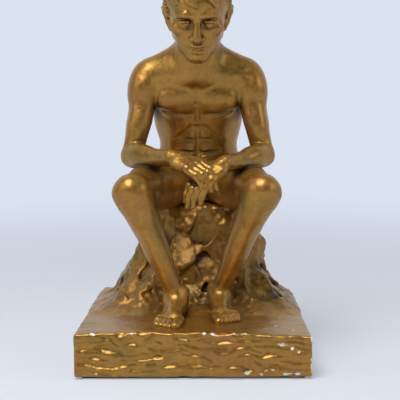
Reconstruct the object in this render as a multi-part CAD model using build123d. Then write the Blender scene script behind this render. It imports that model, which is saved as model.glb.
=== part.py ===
# Seated, pensive figure on a rock: a desk statuette of painted plaster, cast in sections.
# Dowels pin the sections together, and one threaded rod draws the torso and the rock down on the plinth.
# Millimetres, +Z up. The figure faces -Y, so its right side is at -X. The origin is the middle of the underside.
import math
import os

from build123d import *

# Felt and plinth
felt_thickness = 0.8
felt_inset = 2.5
plinth_width = 85.6
plinth_depth = 90.0
plinth_height = 15.5
plinth_corner_radius = 2.0
plinth_edge_radius = 0.9

# Rock: its foot spreads over the plinth, and it draws in to a waist under the seat
rock_margin = 1.2
rock_front_reach = 15.0
rock_waist_width = 51.0
rock_waist_depth = 43.0
rock_seat_draw = 3.5
rock_roughness = 0.06
rock_corners = 14
rock_levels = (0.0, 0.1, 0.24, 0.42, 0.62, 0.82, 1.0)
seat_height = 43.0

# Trunk: the spine is an arc that starts upright on the seat and leans forward at the neck
figure_x = 1.5
hip_y = 20.0
trunk_length = 66.0
trunk_lean = 45.0
hip_half_width = 18.2
hip_front = 13.2
hip_back = 14.2
waist_half_width = 15.6
waist_front = 11.8
waist_back = 10.6
chest_half_width = 19.0
chest_front = 12.4
chest_back = 11.8
collar_half_width = 17.0
collar_front = 9.4
collar_back = 10.6
neck_half_width = 8.6
neck_half_depth = 8.0
neck_waist = 7.5
spine_furrow = 1.8
breast_groove = 0.8
trunk_squareness = 0.84

# Legs
hip_half_span = 10.3
hip_rise = 8.6
hip_forward = 1.0
knee_half_span = 24.0
knee_forward = 46.0
knee_drop = 2.0
thigh_top_radius = 11.6
thigh_radius = 10.2
knee_radius = 7.6
calf_radius = 7.2
calf_dome = 4.0
ankle_radius = 4.3
ankle_height = 9.0
ankle_half_span = 8.5
right_ankle_forward = 37.5
left_ankle_forward = 30.0
foot_length = 27.0
foot_half_width = 5.7
heel_half_width = 4.7
heel_back = 6.0
sole_sink = 0.5
foot_turn = 7.0
big_toe_radius = 2.1
small_toe_radius = 1.15
toe_length = 6.0
toe_step = 0.6
toe_count = 5
toe_overlap = 0.7

# Arms
shoulder_share = 0.83
shoulder_half_span = 19.5
deltoid_radius = 8.2
biceps_radius = 6.3
elbow_radius = 4.9
forearm_radius = 5.3
wrist_radius = 3.5
elbow_share = 0.45
elbow_lift = 50.0

# Hands: the right hand lies over the left, between the knees
hands_forward = 4.0
hands_lift = 7.5
right_wrist_offset = (-8.5, 7.0, 5.0)
left_wrist_offset = (9.5, 6.5, 2.5)
right_hand_way = (0.81, -0.49, -0.32)
left_hand_way = (-0.72, -0.43, -0.55)
right_hand_back = (0.0, -0.45, 0.9)
left_hand_back = (-0.3, -0.6, 0.75)
palm_length = 9.5
palm_half_width = 5.4
palm_half_depth = 2.7
finger_length = 12.0
finger_shares = (0.9, 1.0, 0.95, 0.78)
finger_radius = 1.55
finger_curl = 45.0
thumb_length = 9.0
thumb_radius = 1.8

# Head
head_x = 2.0
head_half_width = 11.2
head_half_depth = 13.4
head_height = 31.5
head_bow = 28.0
head_forward = 13.0
head_rise = 14.5
eye_span = 4.3
eye_radius = 2.3
socket_radius = 2.7
nose_length = 6.4
nose_radius = 1.6
nose_proud = 3.0
chin_radius = 2.3
ear_height = 7.6
ear_depth = 4.6
ear_proud = 2.2

# Hair: a cap over the skull with tufts in rows, each row given by its latitude on the cap and its count
hair_thickness = 0.9
hair_rows = ((72.0, 4), (38.0, 9), (-1.0, 12))
tuft_length = 5.0
tuft_radius = 2.0
tuft_proud = 1.1
tuft_sweep = 35.0

# Dowels and rod
dowel_diameter = 2.5
dowel_length = 12.0
hip_dowel_diameter = 3.0
hip_dowel_length = 16.0
wrist_dowel_diameter = 1.6
wrist_dowel_length = 8.0
foot_dowel_diameter = 2.0
foot_dowel_length = 11.0
dowel_clearance = 0.05
dowel_end_gap = 0.3
rod_diameter = 4.0
rod_bite = 22.0
rod_tail = 1.2
rod_recess = 0.5
nut_across_flats = 7.0
nut_height = 3.2
washer_diameter = 12.0
washer_thickness = 1.0
counterbore_clearance = 0.6

# Levels, directions and points that follow from the sizes above
plinth_top = felt_thickness + plinth_height
seat_top = plinth_top + seat_height
right_left = {"right": -1, "left": 1}
ankle_forward = {"right": right_ankle_forward, "left": left_ankle_forward}
across_body = Vector(1, 0, 0)
straight_up = Vector(0, 0, 1)
bow = math.radians(head_bow)
head_up = Vector(0, -math.sin(bow), math.cos(bow))
head_face = Vector(0, -math.cos(bow), -math.sin(bow))


def spine(share):
    """Point and direction on the trunk's arc, from the seat at 0 to the neck at 1."""
    lean = math.radians(trunk_lean)
    radius = trunk_length / lean
    angle = lean * share
    point = Vector(figure_x, hip_y - radius * (1 - math.cos(angle)), seat_top + radius * math.sin(angle))
    return point, Vector(0, -math.sin(angle), math.cos(angle))


def hip_point(name):
    return Vector(figure_x + right_left[name] * hip_half_span, hip_y - hip_forward, seat_top + hip_rise)


def knee_point(name):
    hip = hip_point(name)
    return Vector(figure_x + right_left[name] * knee_half_span, hip.Y - knee_forward, hip.Z - knee_drop)


def ankle_point(name):
    x = figure_x + right_left[name] * ankle_half_span
    return Vector(x, hip_y - ankle_forward[name], plinth_top + ankle_height)


def shoulder_point(name):
    return spine(shoulder_share)[0] + across_body * (right_left[name] * shoulder_half_span)


def elbow_point(name):
    """The elbow rests on the outer top of the thigh."""
    on_thigh = hip_point(name) + (knee_point(name) - hip_point(name)) * elbow_share
    reach = thigh_radius + elbow_radius
    lift = math.radians(elbow_lift)
    return on_thigh + Vector(right_left[name] * reach * math.cos(lift), 0, reach * math.sin(lift))


hands_middle = (knee_point("right") + knee_point("left")) * 0.5 + Vector(0, -hands_forward, hands_lift)
wrist_point = {
    "right": hands_middle + Vector(*right_wrist_offset),
    "left": hands_middle + Vector(*left_wrist_offset),
}
hand_way = {"right": Vector(*right_hand_way).normalized(), "left": Vector(*left_hand_way).normalized()}
hand_back = {"right": Vector(*right_hand_back), "left": Vector(*left_hand_back)}
head_middle = spine(1)[0] + Vector(head_x - figure_x, -head_forward, head_rise)


def hand_across(name):
    """Direction across the palm, towards the thumb."""
    way = hand_way[name].cross(hand_back[name]).normalized()
    return way if way.Y > 0 else way * -1


def ring(centre, axis, across, half_width, half_depth):
    """Oval section square to the axis, with its width along the across direction."""
    plane = Plane(origin=centre, x_dir=across - axis * across.dot(axis), z_dir=axis)
    corners = 10
    angles = [2 * math.pi * k / corners for k in range(corners)]
    points = [plane.from_local_coords((half_width * math.cos(a), half_depth * math.sin(a), 0)) for a in angles]
    return Wire([Spline(*points, periodic=True)])


def dome(radius, height):
    """Profile points of a rounded end, as (radius, distance past the rim)."""
    turns = [math.radians(angle) for angle in (30, 60, 90)]
    return [(radius * math.cos(turn), height * math.sin(turn)) for turn in turns[:-1]] + [(0, height)]


def limb(start, end, stations, start_dome=0.0, end_dome=0.0, seam=None):
    """Round solid turned about a straight bone. A station is (share of the bone, radius).

    The turned face has its seam on the side that seam points to.
    """
    length = (end - start).length
    points = [(radius, length * share) for share, radius in stations]
    low_radius, low = points[0]
    high_radius, high = points[-1]
    if start_dome:
        points = [(radius, low - past) for radius, past in reversed(dome(low_radius, start_dome))] + points
    if end_dome:
        points = points + [(radius, high + past) for radius, past in dome(high_radius, end_dome)]
    corners = [points[-1], (0, points[-1][1]), (0, points[0][1]), points[0]]
    edges = [Line(a, b) for a, b in zip(corners, corners[1:]) if a != b]
    turned = revolve(Plane.XZ * make_face([Spline(*points), *edges]), Axis.Z)
    way = (end - start).normalized()
    seam_way = seam - way * seam.dot(way) if seam else None
    return Plane(origin=start, x_dir=seam_way, z_dir=way) * turned


def capsule(start, end, start_radius, end_radius, seam=None):
    """Tapered bar with round ends."""
    stations = ((0.0, start_radius), (1.0, end_radius))
    return limb(start, end, stations, start_radius, end_radius, seam)


def finger(start, way, bend_to, length, radius, curl):
    """Two finger bones, the second one bent towards bend_to."""
    turn = math.radians(curl)
    middle = start + way * (length * 0.5)
    tip_way = way * math.cos(turn) + bend_to * math.sin(turn)
    tip = middle + tip_way * (length * 0.5 - radius)
    return capsule(start, middle, radius, radius * 0.95) + capsule(middle, tip, radius * 0.94, radius * 0.8)


def ellipsoid(centre, across, up, half_width, half_depth, half_height):
    """Ellipsoid with its height along up and its width along across."""
    ball = scale(Sphere(1), by=(half_width, half_depth, half_height))
    return Plane(origin=centre, x_dir=across, z_dir=up) * ball


def pin(start, end, diameter):
    """Round bar between two points."""
    plane = Plane(origin=start, z_dir=(end - start).normalized())
    return plane * Cylinder(diameter / 2, (end - start).length, align=(Align.CENTER, Align.CENTER, Align.MIN))


def socket(start, end, diameter):
    """Hole for a bar, with clearance round it and past both of its ends."""
    past = (end - start).normalized() * dowel_end_gap
    return pin(start - past, end + past, diameter + 2 * dowel_clearance)


def centred_pin_ends(middle, way, length):
    return middle - way * (length / 2), middle + way * (length / 2)


def pin_ends():
    """Both ends and the diameter of every dowel, by node name."""
    ends = {"neck_dowel": (*centred_pin_ends(*spine(1), dowel_length), dowel_diameter)}
    for name, side in right_left.items():
        shoulder = shoulder_point(name) - across_body * (side * deltoid_radius / 4)
        ends[f"{name}_shoulder_dowel"] = (
            *centred_pin_ends(shoulder, across_body * side, dowel_length),
            dowel_diameter,
        )
        thigh_way = (knee_point(name) - hip_point(name)).normalized()
        hip = hip_point(name) + thigh_way * hip_back
        ends[f"{name}_hip_dowel"] = (*centred_pin_ends(hip, thigh_way, hip_dowel_length), hip_dowel_diameter)
        forearm_way = (wrist_point[name] - elbow_point(name)).normalized()
        ends[f"{name}_wrist_dowel"] = (
            *centred_pin_ends(wrist_point[name], forearm_way, wrist_dowel_length),
            wrist_dowel_diameter,
        )
        sole = ankle_point(name) - straight_up * ankle_height
        ends[f"{name}_foot_dowel"] = (
            *centred_pin_ends(sole, straight_up, foot_dowel_length),
            foot_dowel_diameter,
        )
    return ends


# Rod, nut and washer under the plinth, from the felt upwards
rod_bottom = felt_thickness + rod_recess
nut_bottom = rod_bottom + rod_tail
washer_bottom = nut_bottom + nut_height
counterbore_top = washer_bottom + washer_thickness
rod_foot = Vector(figure_x, hip_y, rod_bottom)
rod_head = Vector(figure_x, hip_y, seat_top + rod_bite)


def make_felt():
    sheet = Rectangle(plinth_width - 2 * felt_inset, plinth_depth - 2 * felt_inset)
    sheet = fillet(sheet.vertices(), plinth_corner_radius)
    return extrude(sheet, felt_thickness)


def make_plinth():
    outline = fillet(Rectangle(plinth_width, plinth_depth).vertices(), plinth_corner_radius)
    block = Pos(0, 0, felt_thickness) * extrude(outline, plinth_height)
    block = fillet(block.edges().group_by(Axis.Z)[-1], plinth_edge_radius)
    bore_radius = washer_diameter / 2 + counterbore_clearance
    bore_depth = counterbore_top - felt_thickness
    bore = Pos(figure_x, hip_y, felt_thickness) * Cylinder(
        bore_radius, bore_depth, align=(Align.CENTER, Align.CENTER, Align.MIN)
    )
    return block - bore


def rock_outline(share, level):
    """Rough outline of the rock at a share of the seat's height."""
    spread_half_width = plinth_width / 2 - rock_margin
    spread_back = plinth_depth / 2 - rock_margin
    spread_half_depth = (spread_back + rock_front_reach) / 2
    flare = (1 - share) ** 4
    draw = rock_seat_draw * share**6
    half_width = rock_waist_width / 2 + (spread_half_width - rock_waist_width / 2) * flare - draw
    half_depth = rock_waist_depth / 2 + (spread_half_depth - rock_waist_depth / 2) * flare - draw
    middle_y = hip_y + (spread_back - spread_half_depth - hip_y) * flare
    squareness = 0.4 + 0.5 * share
    points = []
    for k in range(rock_corners):
        angle = 2 * math.pi * (k + 0.5) / rock_corners
        wave = math.sin(3 * angle + 2.1 * level) + 0.7 * math.cos(5 * angle - 1.3 * level)
        rough = 1 + rock_roughness * min(1, 4 * share) * wave
        c, s = math.cos(angle), math.sin(angle)
        x = figure_x * (1 - flare) + half_width * rough * math.copysign(abs(c) ** squareness, c)
        y = middle_y + half_depth * rough * math.copysign(abs(s) ** squareness, s)
        points.append(Vector(x, y, plinth_top + seat_height * share))
    return Wire.make_polygon(points, close=True)


def make_rock():
    return Solid.make_loft([rock_outline(share, level) for level, share in enumerate(rock_levels)], ruled=True)


def trunk_section(share, half_width, front, back, furrow, groove):
    """Section of the trunk, with a furrow down the spine and a groove between the breasts."""
    point, way = spine(share)
    plane = Plane(origin=point, x_dir=across_body, z_dir=way)
    corners = 16
    points = []
    for k in range(corners):
        angle = 2 * math.pi * k / corners
        c, s = math.cos(angle), math.sin(angle)
        x = half_width * math.copysign(abs(c) ** trunk_squareness, c)
        # The plane's own Y points to the back
        y = (back if s > 0 else front) * math.copysign(abs(s) ** trunk_squareness, s)
        if k == corners // 4:
            y -= furrow
        if k == 3 * corners // 4:
            y += groove
        points.append(plane.from_local_coords((x, y, 0)))
    return Wire([Spline(*points, periodic=True)])


def midway(first, second):
    return tuple((a + b) / 2 for a, b in zip(first, second))


def make_torso():
    hips = (hip_half_width, hip_front, hip_back)
    waist = (waist_half_width, waist_front, waist_back)
    chest = (chest_half_width, chest_front, chest_back)
    collar = (collar_half_width, collar_front, collar_back)
    neck = (neck_half_width, neck_half_depth, neck_half_depth)
    seat = tuple(size * 0.93 for size in hips)
    # Share of the spine, half width with depths to the front and back, furrow, groove
    sections = (
        (0.0, *seat, spine_furrow, 0),
        (0.13, *hips, spine_furrow, 0),
        (0.28, *midway(hips, waist), spine_furrow, 0),
        (0.43, *waist, spine_furrow, 0),
        (0.59, *midway(waist, chest), spine_furrow, breast_groove / 2),
        (0.75, *chest, spine_furrow, breast_groove),
        (0.89, *collar, spine_furrow / 2, breast_groove / 2),
        (1.0, *neck, 0, 0),
    )
    return Solid.make_loft([trunk_section(*section) for section in sections])


def make_left_foot():
    """Left foot that points along -Y, with its sole at height 0 and its ankle over the origin."""
    toe_way = Vector(0, -1, 0)
    inward = Vector(-1, 0, 0)
    # The forms start a little below the sole's plane, which then cuts them flat
    heel = toe_way * -heel_back - straight_up * sole_sink
    ball_reach = foot_length - toe_length
    # Sections from the heel to the ball: share of that reach, half width, height
    sections = (
        (0.0, heel_half_width * 0.7, ankle_height * 0.6),
        (0.2, heel_half_width, ankle_height * 0.95),
        (0.4, heel_half_width * 1.05, ankle_height * 1.05),
        (0.6, heel_half_width * 1.2, ankle_height * 0.85),
        (0.8, foot_half_width, ankle_height * 0.62),
        (1.0, foot_half_width * 0.97, ankle_height * 0.42),
    )
    rings = [
        ring(heel + toe_way * (ball_reach * share) + straight_up * (height / 2), toe_way, inward, width, height / 2)
        for share, width, height in sections
    ]
    foot = Solid.make_loft(rings)
    foot += ellipsoid(
        heel + toe_way + straight_up * (ankle_height * 0.35),
        across_body,
        straight_up,
        heel_half_width * 0.8,
        heel_half_width * 0.7,
        ankle_height * 0.35,
    )
    reach = foot_half_width
    for k in range(toe_count):
        radius = small_toe_radius if k else big_toe_radius
        reach -= radius
        root = heel + toe_way * (ball_reach - radius) + inward * reach + straight_up * radius
        tip = root + toe_way * (toe_length - radius * 0.8 - toe_step * k)
        foot += capsule(root, tip, radius, radius * 0.9)
        reach -= radius * toe_overlap
    foot -= Box(2 * foot_length, 3 * foot_length, foot_length, align=(Align.CENTER, Align.CENTER, Align.MAX))
    return Rot(0, 0, foot_turn) * foot


def make_foot(name):
    foot = make_left_foot()
    if name == "right":
        foot = mirror(foot, about=Plane.YZ)
    ankle = ankle_point(name)
    return Pos(ankle.X, ankle.Y, plinth_top) * foot


def make_leg(name):
    hip, knee, ankle = hip_point(name), knee_point(name), ankle_point(name)
    thigh_stations = (
        (0.0, thigh_top_radius),
        (0.35, thigh_top_radius * 0.97),
        (0.65, thigh_radius * 0.92),
        (0.95, knee_radius),
    )
    thigh = limb(hip, knee, thigh_stations, thigh_top_radius / 2, knee_radius)
    shank_stations = (
        (0.0, knee_radius * 0.93),
        (0.3, calf_radius),
        (0.65, ankle_radius * 1.3),
        (0.9, ankle_radius),
    )
    shank_foot = ankle - straight_up * (ankle_height * 0.3)
    shank = limb(knee, shank_foot, shank_stations, knee_radius * 0.8, ankle_radius * 0.6)
    shin_way = (ankle - knee).normalized()
    back = Vector(0, 1, 0)
    back = (back - shin_way * back.dot(shin_way)).normalized() * (calf_radius * 0.35)
    calf_top = knee + (ankle - knee) * 0.15 + back
    calf_end = knee + (ankle - knee) * 0.5 + back
    calf = limb(calf_top, calf_end, ((0.1, calf_radius * 0.72), (0.7, calf_radius * 0.8)), calf_dome, calf_dome)
    return thigh + shank + calf + make_foot(name)


def make_arm(name):
    shoulder, elbow, wrist = shoulder_point(name), elbow_point(name), wrist_point[name]
    upper_stations = (
        (0.0, deltoid_radius * 0.94),
        (0.22, deltoid_radius * 0.96),
        (0.55, biceps_radius),
        (0.9, elbow_radius),
    )
    upper = limb(shoulder, elbow, upper_stations, deltoid_radius * 0.8, elbow_radius * 0.9)
    fore_stations = (
        (0.0, elbow_radius * 0.95),
        (0.33, forearm_radius),
        (0.67, (forearm_radius + wrist_radius) / 2),
        (1.0, wrist_radius),
    )
    return upper + limb(elbow, wrist, fore_stations, start_dome=elbow_radius * 0.8)


def make_hand(name):
    way, across, wrist = hand_way[name], hand_across(name), wrist_point[name]
    palm_side = hand_back[name] - way * hand_back[name].dot(way)
    palm_side = palm_side.normalized() * -1
    forearm_way = (wrist - elbow_point(name)).normalized()
    knuckles = wrist + way * palm_length
    palm_rings = [
        ring(wrist, forearm_way, across, wrist_radius, wrist_radius),
        ring(wrist + way * (palm_length * 0.5), way, across, palm_half_width * 0.93, palm_half_depth),
        ring(knuckles, way, across, palm_half_width, palm_half_depth * 0.9),
    ]
    hand = Solid.make_loft(palm_rings)
    pitch = 2 * (palm_half_width - finger_radius) / (len(finger_shares) - 1)
    for k, share in enumerate(finger_shares):
        root = knuckles + across * (palm_half_width - finger_radius - pitch * k) - way * finger_radius
        hand += finger(root, way, palm_side, finger_length * share, finger_radius, finger_curl)
    thumb_root = wrist + way * (palm_length * 0.3) + across * (palm_half_width * 0.6)
    thumb_way = (way + across * 0.55 + palm_side * 0.2).normalized()
    thumb_bend = (way - thumb_way * way.dot(thumb_way)).normalized()
    return hand + finger(thumb_root, thumb_way, thumb_bend, thumb_length, thumb_radius, finger_curl / 2)


def head_level(share, forward=0.0):
    """Point on the head's own upright axis, from the chin at 0 to the crown at 1."""
    return head_middle + head_up * (head_height * (share - 0.5)) + head_face * forward


def make_skull():
    # Sections from the chin to the crown: share of the height, half width, reach to the front and to the back
    levels = (
        (0.03, 0.36, 0.86, -0.3),
        (0.13, 0.6, 0.93, 0.1),
        (0.25, 0.78, 0.94, 0.38),
        (0.38, 0.89, 0.92, 0.68),
        (0.5, 0.95, 0.89, 0.92),
        (0.62, 1.0, 0.94, 1.06),
        (0.75, 0.96, 0.88, 1.02),
        (0.87, 0.76, 0.62, 0.82),
        (0.95, 0.44, 0.32, 0.5),
    )
    rings = []
    for share, width, front, back in levels:
        centre = head_level(share, head_half_depth * (front - back) / 2)
        half_depth = head_half_depth * (front + back) / 2
        rings.append(ring(centre, head_up, across_body, head_half_width * width, half_depth))
    return Solid.make_loft(rings)


def make_neck():
    foot, way = spine(1)
    nape = head_level(0.4, -head_half_depth * 0.3)
    rings = [
        ring(foot, way, across_body, neck_half_width, neck_half_depth),
        ring((foot + nape) * 0.5, (nape - foot).normalized(), across_body, neck_waist, neck_waist),
        ring(nape, head_up, across_body, neck_waist, neck_waist),
    ]
    return Solid.make_loft(rings)


def face_point(out, share, forward):
    return head_level(share, head_half_depth * forward) + across_body * out


def add_face(head):
    """Head with a plain face: nose, sockets and eyes, and chin."""
    bridge = face_point(0, 0.545, 0.86)
    tip = bridge - head_up * nose_length + head_face * nose_proud
    head += capsule(bridge, tip, nose_radius * 0.75, nose_radius, -head_face)
    for side in right_left.values():
        head -= Pos(*face_point(side * eye_span, 0.5, 0.95)) * Sphere(socket_radius)
        head += Pos(*face_point(side * eye_span, 0.5, 0.7)) * Sphere(eye_radius)
    return head + Pos(*face_point(0, 0.09, 0.77)) * Sphere(chin_radius)


def cap_point(longitude, latitude, proud):
    """Point at a height over the hair's cap. Longitude 0 is the face, latitude 90 the crown."""
    across = math.cos(latitude) * math.sin(longitude) * (head_half_width + hair_thickness + proud)
    forward = math.cos(latitude) * math.cos(longitude) * (head_half_depth + hair_thickness + proud)
    up = math.sin(latitude) * (head_half_width + hair_thickness + proud)
    return head_level(0.63, forward - hair_thickness) + across_body * across + head_up * up


def make_hair():
    cap = ellipsoid(
        head_level(0.63, -hair_thickness),
        across_body,
        head_up,
        head_half_width + hair_thickness,
        head_half_depth + hair_thickness,
        head_half_width + hair_thickness,
    )
    hairline = head_level(0.62, head_half_depth * 0.35)
    hairline_way = (head_face - head_up * 0.75).normalized()
    face_side = Plane(origin=hairline, z_dir=hairline_way)
    past = 3 * head_height
    hair = cap - face_side * Box(past, past, past, align=(Align.CENTER, Align.CENTER, Align.MIN))
    sweep = math.radians(tuft_sweep)
    turn = tuft_length / (head_half_width + hair_thickness)
    sunk = tuft_proud - tuft_radius
    tufts = []
    for row, (degrees, count) in enumerate(hair_rows):
        for k in range(count):
            latitude = math.radians(degrees)
            longitude = 2 * math.pi * (k + row / 2) / count
            end_latitude = latitude - turn * math.cos(sweep)
            aside = turn * math.sin(sweep) / max(math.cos(end_latitude), 0.4)
            start = cap_point(longitude, latitude, sunk)
            end = cap_point(longitude + aside, end_latitude, sunk)
            # A tuft stays clear of the hairline
            if max((spot - hairline).dot(hairline_way) for spot in (start, end)) > -1.5 * tuft_radius:
                continue
            tufts.append(capsule(start, end, tuft_radius, tuft_radius * 0.8, head_middle - start))
    return hair.fuse(*tufts)


def make_head():
    head = add_face(make_skull() + make_neck())
    ears = []
    for side in right_left.values():
        ear_middle = face_point(side * head_half_width * 0.94, 0.44, -0.06)
        ears.append(ellipsoid(ear_middle, across_body, head_up, ear_proud, ear_depth / 2, ear_height / 2))
    return head.fuse(make_hair(), *ears)


def make_washer():
    blank = Cylinder(washer_diameter / 2, washer_thickness, align=(Align.CENTER, Align.CENTER, Align.MIN))
    bore_radius = rod_diameter / 2 + dowel_clearance
    bore = Cylinder(bore_radius, washer_thickness, align=(Align.CENTER, Align.CENTER, Align.MIN))
    return Pos(figure_x, hip_y, washer_bottom) * (blank - bore)


def make_nut():
    hexagon = RegularPolygon(nut_across_flats / 2, 6, major_radius=False) - Circle(rod_diameter / 2)
    return Pos(figure_x, hip_y, nut_bottom) * extrude(hexagon, nut_height)


def make_parts():
    ends = pin_ends()
    parts = {name: pin(*end) for name, end in ends.items()}
    sockets = {name: socket(*end) for name, end in ends.items()}
    parts["seat_rod"] = pin(rod_foot, rod_head, rod_diameter)
    rod_socket = socket(rod_foot, rod_head, rod_diameter)
    parts["felt_pad"] = make_felt()
    parts["seat_washer"] = make_washer()
    parts["seat_nut"] = make_nut()

    plinth = make_plinth()
    torso = make_torso()
    legs = {name: make_leg(name) - torso for name in right_left}
    arms = {name: make_arm(name) - torso - legs[name] for name in right_left}
    hands = make_hand("right") + make_hand("left") - legs["right"] - legs["left"]
    head = make_head() - torso
    rock = make_rock() - torso - legs["right"] - legs["left"] - rod_socket

    for name in right_left:
        legs[name] = legs[name] - sockets[f"{name}_hip_dowel"] - sockets[f"{name}_foot_dowel"]
        plinth -= sockets[f"{name}_foot_dowel"]
        rock -= sockets[f"{name}_foot_dowel"]
        torso = torso - sockets[f"{name}_hip_dowel"] - sockets[f"{name}_shoulder_dowel"]
        arms[name] = arms[name] - sockets[f"{name}_shoulder_dowel"] - sockets[f"{name}_wrist_dowel"]
        hands -= sockets[f"{name}_wrist_dowel"]
        parts[f"{name}_leg"] = legs[name]
        parts[f"{name}_arm"] = arms[name]
    parts["plinth"] = plinth - rod_socket
    parts["rock_seat"] = rock
    parts["torso"] = torso - sockets["neck_dowel"] - rod_socket
    parts["head"] = head - sockets["neck_dowel"]
    parts["folded_hands"] = hands
    return parts


os.makedirs("parts", exist_ok=True)
for node, shape in make_parts().items():
    export_step(shape, f"parts/{node}.step")
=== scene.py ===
import math

import bpy
import numpy as np
import openvdb
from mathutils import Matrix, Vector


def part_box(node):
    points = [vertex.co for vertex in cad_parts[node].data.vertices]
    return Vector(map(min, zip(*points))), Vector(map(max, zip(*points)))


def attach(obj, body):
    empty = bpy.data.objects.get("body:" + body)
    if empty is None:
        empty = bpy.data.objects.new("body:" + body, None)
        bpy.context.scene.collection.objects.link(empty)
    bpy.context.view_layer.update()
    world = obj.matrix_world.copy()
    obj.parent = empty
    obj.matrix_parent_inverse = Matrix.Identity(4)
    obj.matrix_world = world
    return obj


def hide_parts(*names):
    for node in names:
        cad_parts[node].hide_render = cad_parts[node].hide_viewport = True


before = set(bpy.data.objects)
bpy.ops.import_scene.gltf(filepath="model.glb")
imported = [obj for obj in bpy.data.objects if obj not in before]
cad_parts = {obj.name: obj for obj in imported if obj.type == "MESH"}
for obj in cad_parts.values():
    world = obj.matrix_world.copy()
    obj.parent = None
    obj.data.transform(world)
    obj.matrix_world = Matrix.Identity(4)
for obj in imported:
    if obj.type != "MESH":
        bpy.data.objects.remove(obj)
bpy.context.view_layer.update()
mm = 0.001


# Clay: forms are blended in a grid of distances to the surface, in millimetres, and meshed at the end

clayValues = {
    "figureStep": 0.34,  # grid pitch of the figure
    "baseStep": 0.42,  # grid pitch of the plinth and the rock
    "reach": 6.0,  # how far from a form its distances are worked out
    "far": 9.0,  # distance that stands for open air
    "figureLow": (-31, -47, -1),  # corners of the figure's grid, the first one's height from the plinth
    "figureHigh": (35, 38, 152),
    "curveSteps": 300,
}
leastNorm = 0.05  # keeps distances finite in the middle of a section
coreBlend = 0.1  # for the first form in a clay


def vec(x, y, z):
    return np.array((x, y, z), float)


def unit(v):
    return v / np.linalg.norm(v)


def makeClay(low, high, step):
    counts = np.ceil((vec(*high) - vec(*low)) / step).astype(int) + 1
    return {"low": vec(*low), "step": step, "field": np.full(counts, clayValues["far"], np.float32)}


def window(clay, low, high):
    counts = np.array(clay["field"].shape)
    first = np.clip(np.floor((low - clay["low"]) / clay["step"]).astype(int), 0, counts - 1)
    last = np.clip(np.ceil((high - clay["low"]) / clay["step"]).astype(int) + 1, 1, counts)
    axes = [start + clay["step"] * np.arange(a, b) for start, a, b in zip(clay["low"], first, last)]
    where = tuple(slice(a, b) for a, b in zip(first, last))
    return where, np.meshgrid(*(axis.astype(np.float32) for axis in axes), indexing="ij", sparse=True)


def wholeGrid(clay):
    high = clay["low"] + clay["step"] * (np.array(clay["field"].shape) - 1)
    return window(clay, clay["low"], high)[1]


def softMin(a, b, blend):
    near = np.maximum(blend - np.abs(a - b), 0) / blend
    return np.minimum(a, b) - near * near * (blend / 4)


def smoothMax(a, b, blend):
    return -softMin(-a, -b, blend)


def stamp(clay, low, high, distance, blend, cut):
    where, grid = window(clay, low - clayValues["reach"], high + clayValues["reach"])
    old = clay["field"][where]
    new = distance(*grid)
    clay["field"][where] = -softMin(-old, new, blend) if cut else softMin(old, new, blend)


def capsule(clay, a, b, startRadius, endRadius, blend, cut=False):
    bone = b - a
    lengthSquared = max(bone.dot(bone), 1e-6)

    def distance(x, y, z):
        px, py, pz = x - a[0], y - a[1], z - a[2]
        share = np.clip((px * bone[0] + py * bone[1] + pz * bone[2]) / lengthSquared, 0, 1)
        radius = startRadius + (endRadius - startRadius) * share
        away = (px - share * bone[0]) ** 2 + (py - share * bone[1]) ** 2 + (pz - share * bone[2]) ** 2
        return np.sqrt(away) - radius

    widest = max(startRadius, endRadius)
    stamp(clay, np.minimum(a, b) - widest, np.maximum(a, b) + widest, distance, blend, cut)


def chain(clay, points, radii, blend, cut=False):
    for k in range(len(points) - 1):
        capsule(clay, points[k], points[k + 1], radii[k], radii[k + 1], blend, cut)


def ellipsoid(clay, centre, axes, radii, blend, cut=False):
    def distance(x, y, z):
        px, py, pz = x - centre[0], y - centre[1], z - centre[2]
        outer, inner = 0, 0
        for axis, radius in zip(axes, radii):
            along = (px * axis[0] + py * axis[1] + pz * axis[2]) / radius
            outer = outer + along * along
            inner = inner + (along / radius) ** 2
        outer = np.sqrt(outer)
        return outer * (outer - 1) / np.maximum(np.sqrt(inner), 1e-3)

    extent = np.sqrt(sum((axis * radius) ** 2 for axis, radius in zip(axes, radii)))
    stamp(clay, centre - extent, centre + extent, distance, blend, cut)


def roundBox(clay, centre, axes, halves, rounding, blend, cut=False):
    def distance(x, y, z):
        px, py, pz = x - centre[0], y - centre[1], z - centre[2]
        outside, inside = 0, -1e3
        for axis, half in zip(axes, halves):
            past = np.abs(px * axis[0] + py * axis[1] + pz * axis[2]) - (half - rounding)
            outside = outside + np.maximum(past, 0) ** 2
            inside = np.maximum(inside, past)
        return np.sqrt(outside) + np.minimum(inside, 0) - rounding

    extent = sum(np.abs(axis) * half for axis, half in zip(axes, halves))
    stamp(clay, centre - extent, centre + extent, distance, blend, cut)


def smoothCurve(shares, values):
    fine = np.linspace(shares[0], shares[-1], clayValues["curveSteps"])
    shares, values = np.array(shares), np.array(values)
    slopes = np.gradient(values, shares)
    first = np.clip(np.searchsorted(shares, fine, side="right") - 1, 0, len(shares) - 2)
    gap = shares[first + 1] - shares[first]
    part = (fine - shares[first]) / gap
    table = (
        (1 + 2 * part) * (1 - part) ** 2 * values[first]
        + part * (1 - part) ** 2 * gap * slopes[first]
        + part**2 * (3 - 2 * part) * values[first + 1]
        + part**2 * (part - 1) * gap * slopes[first + 1]
    )
    return lambda share: np.interp(share, fine, table).astype(np.float32)


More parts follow.
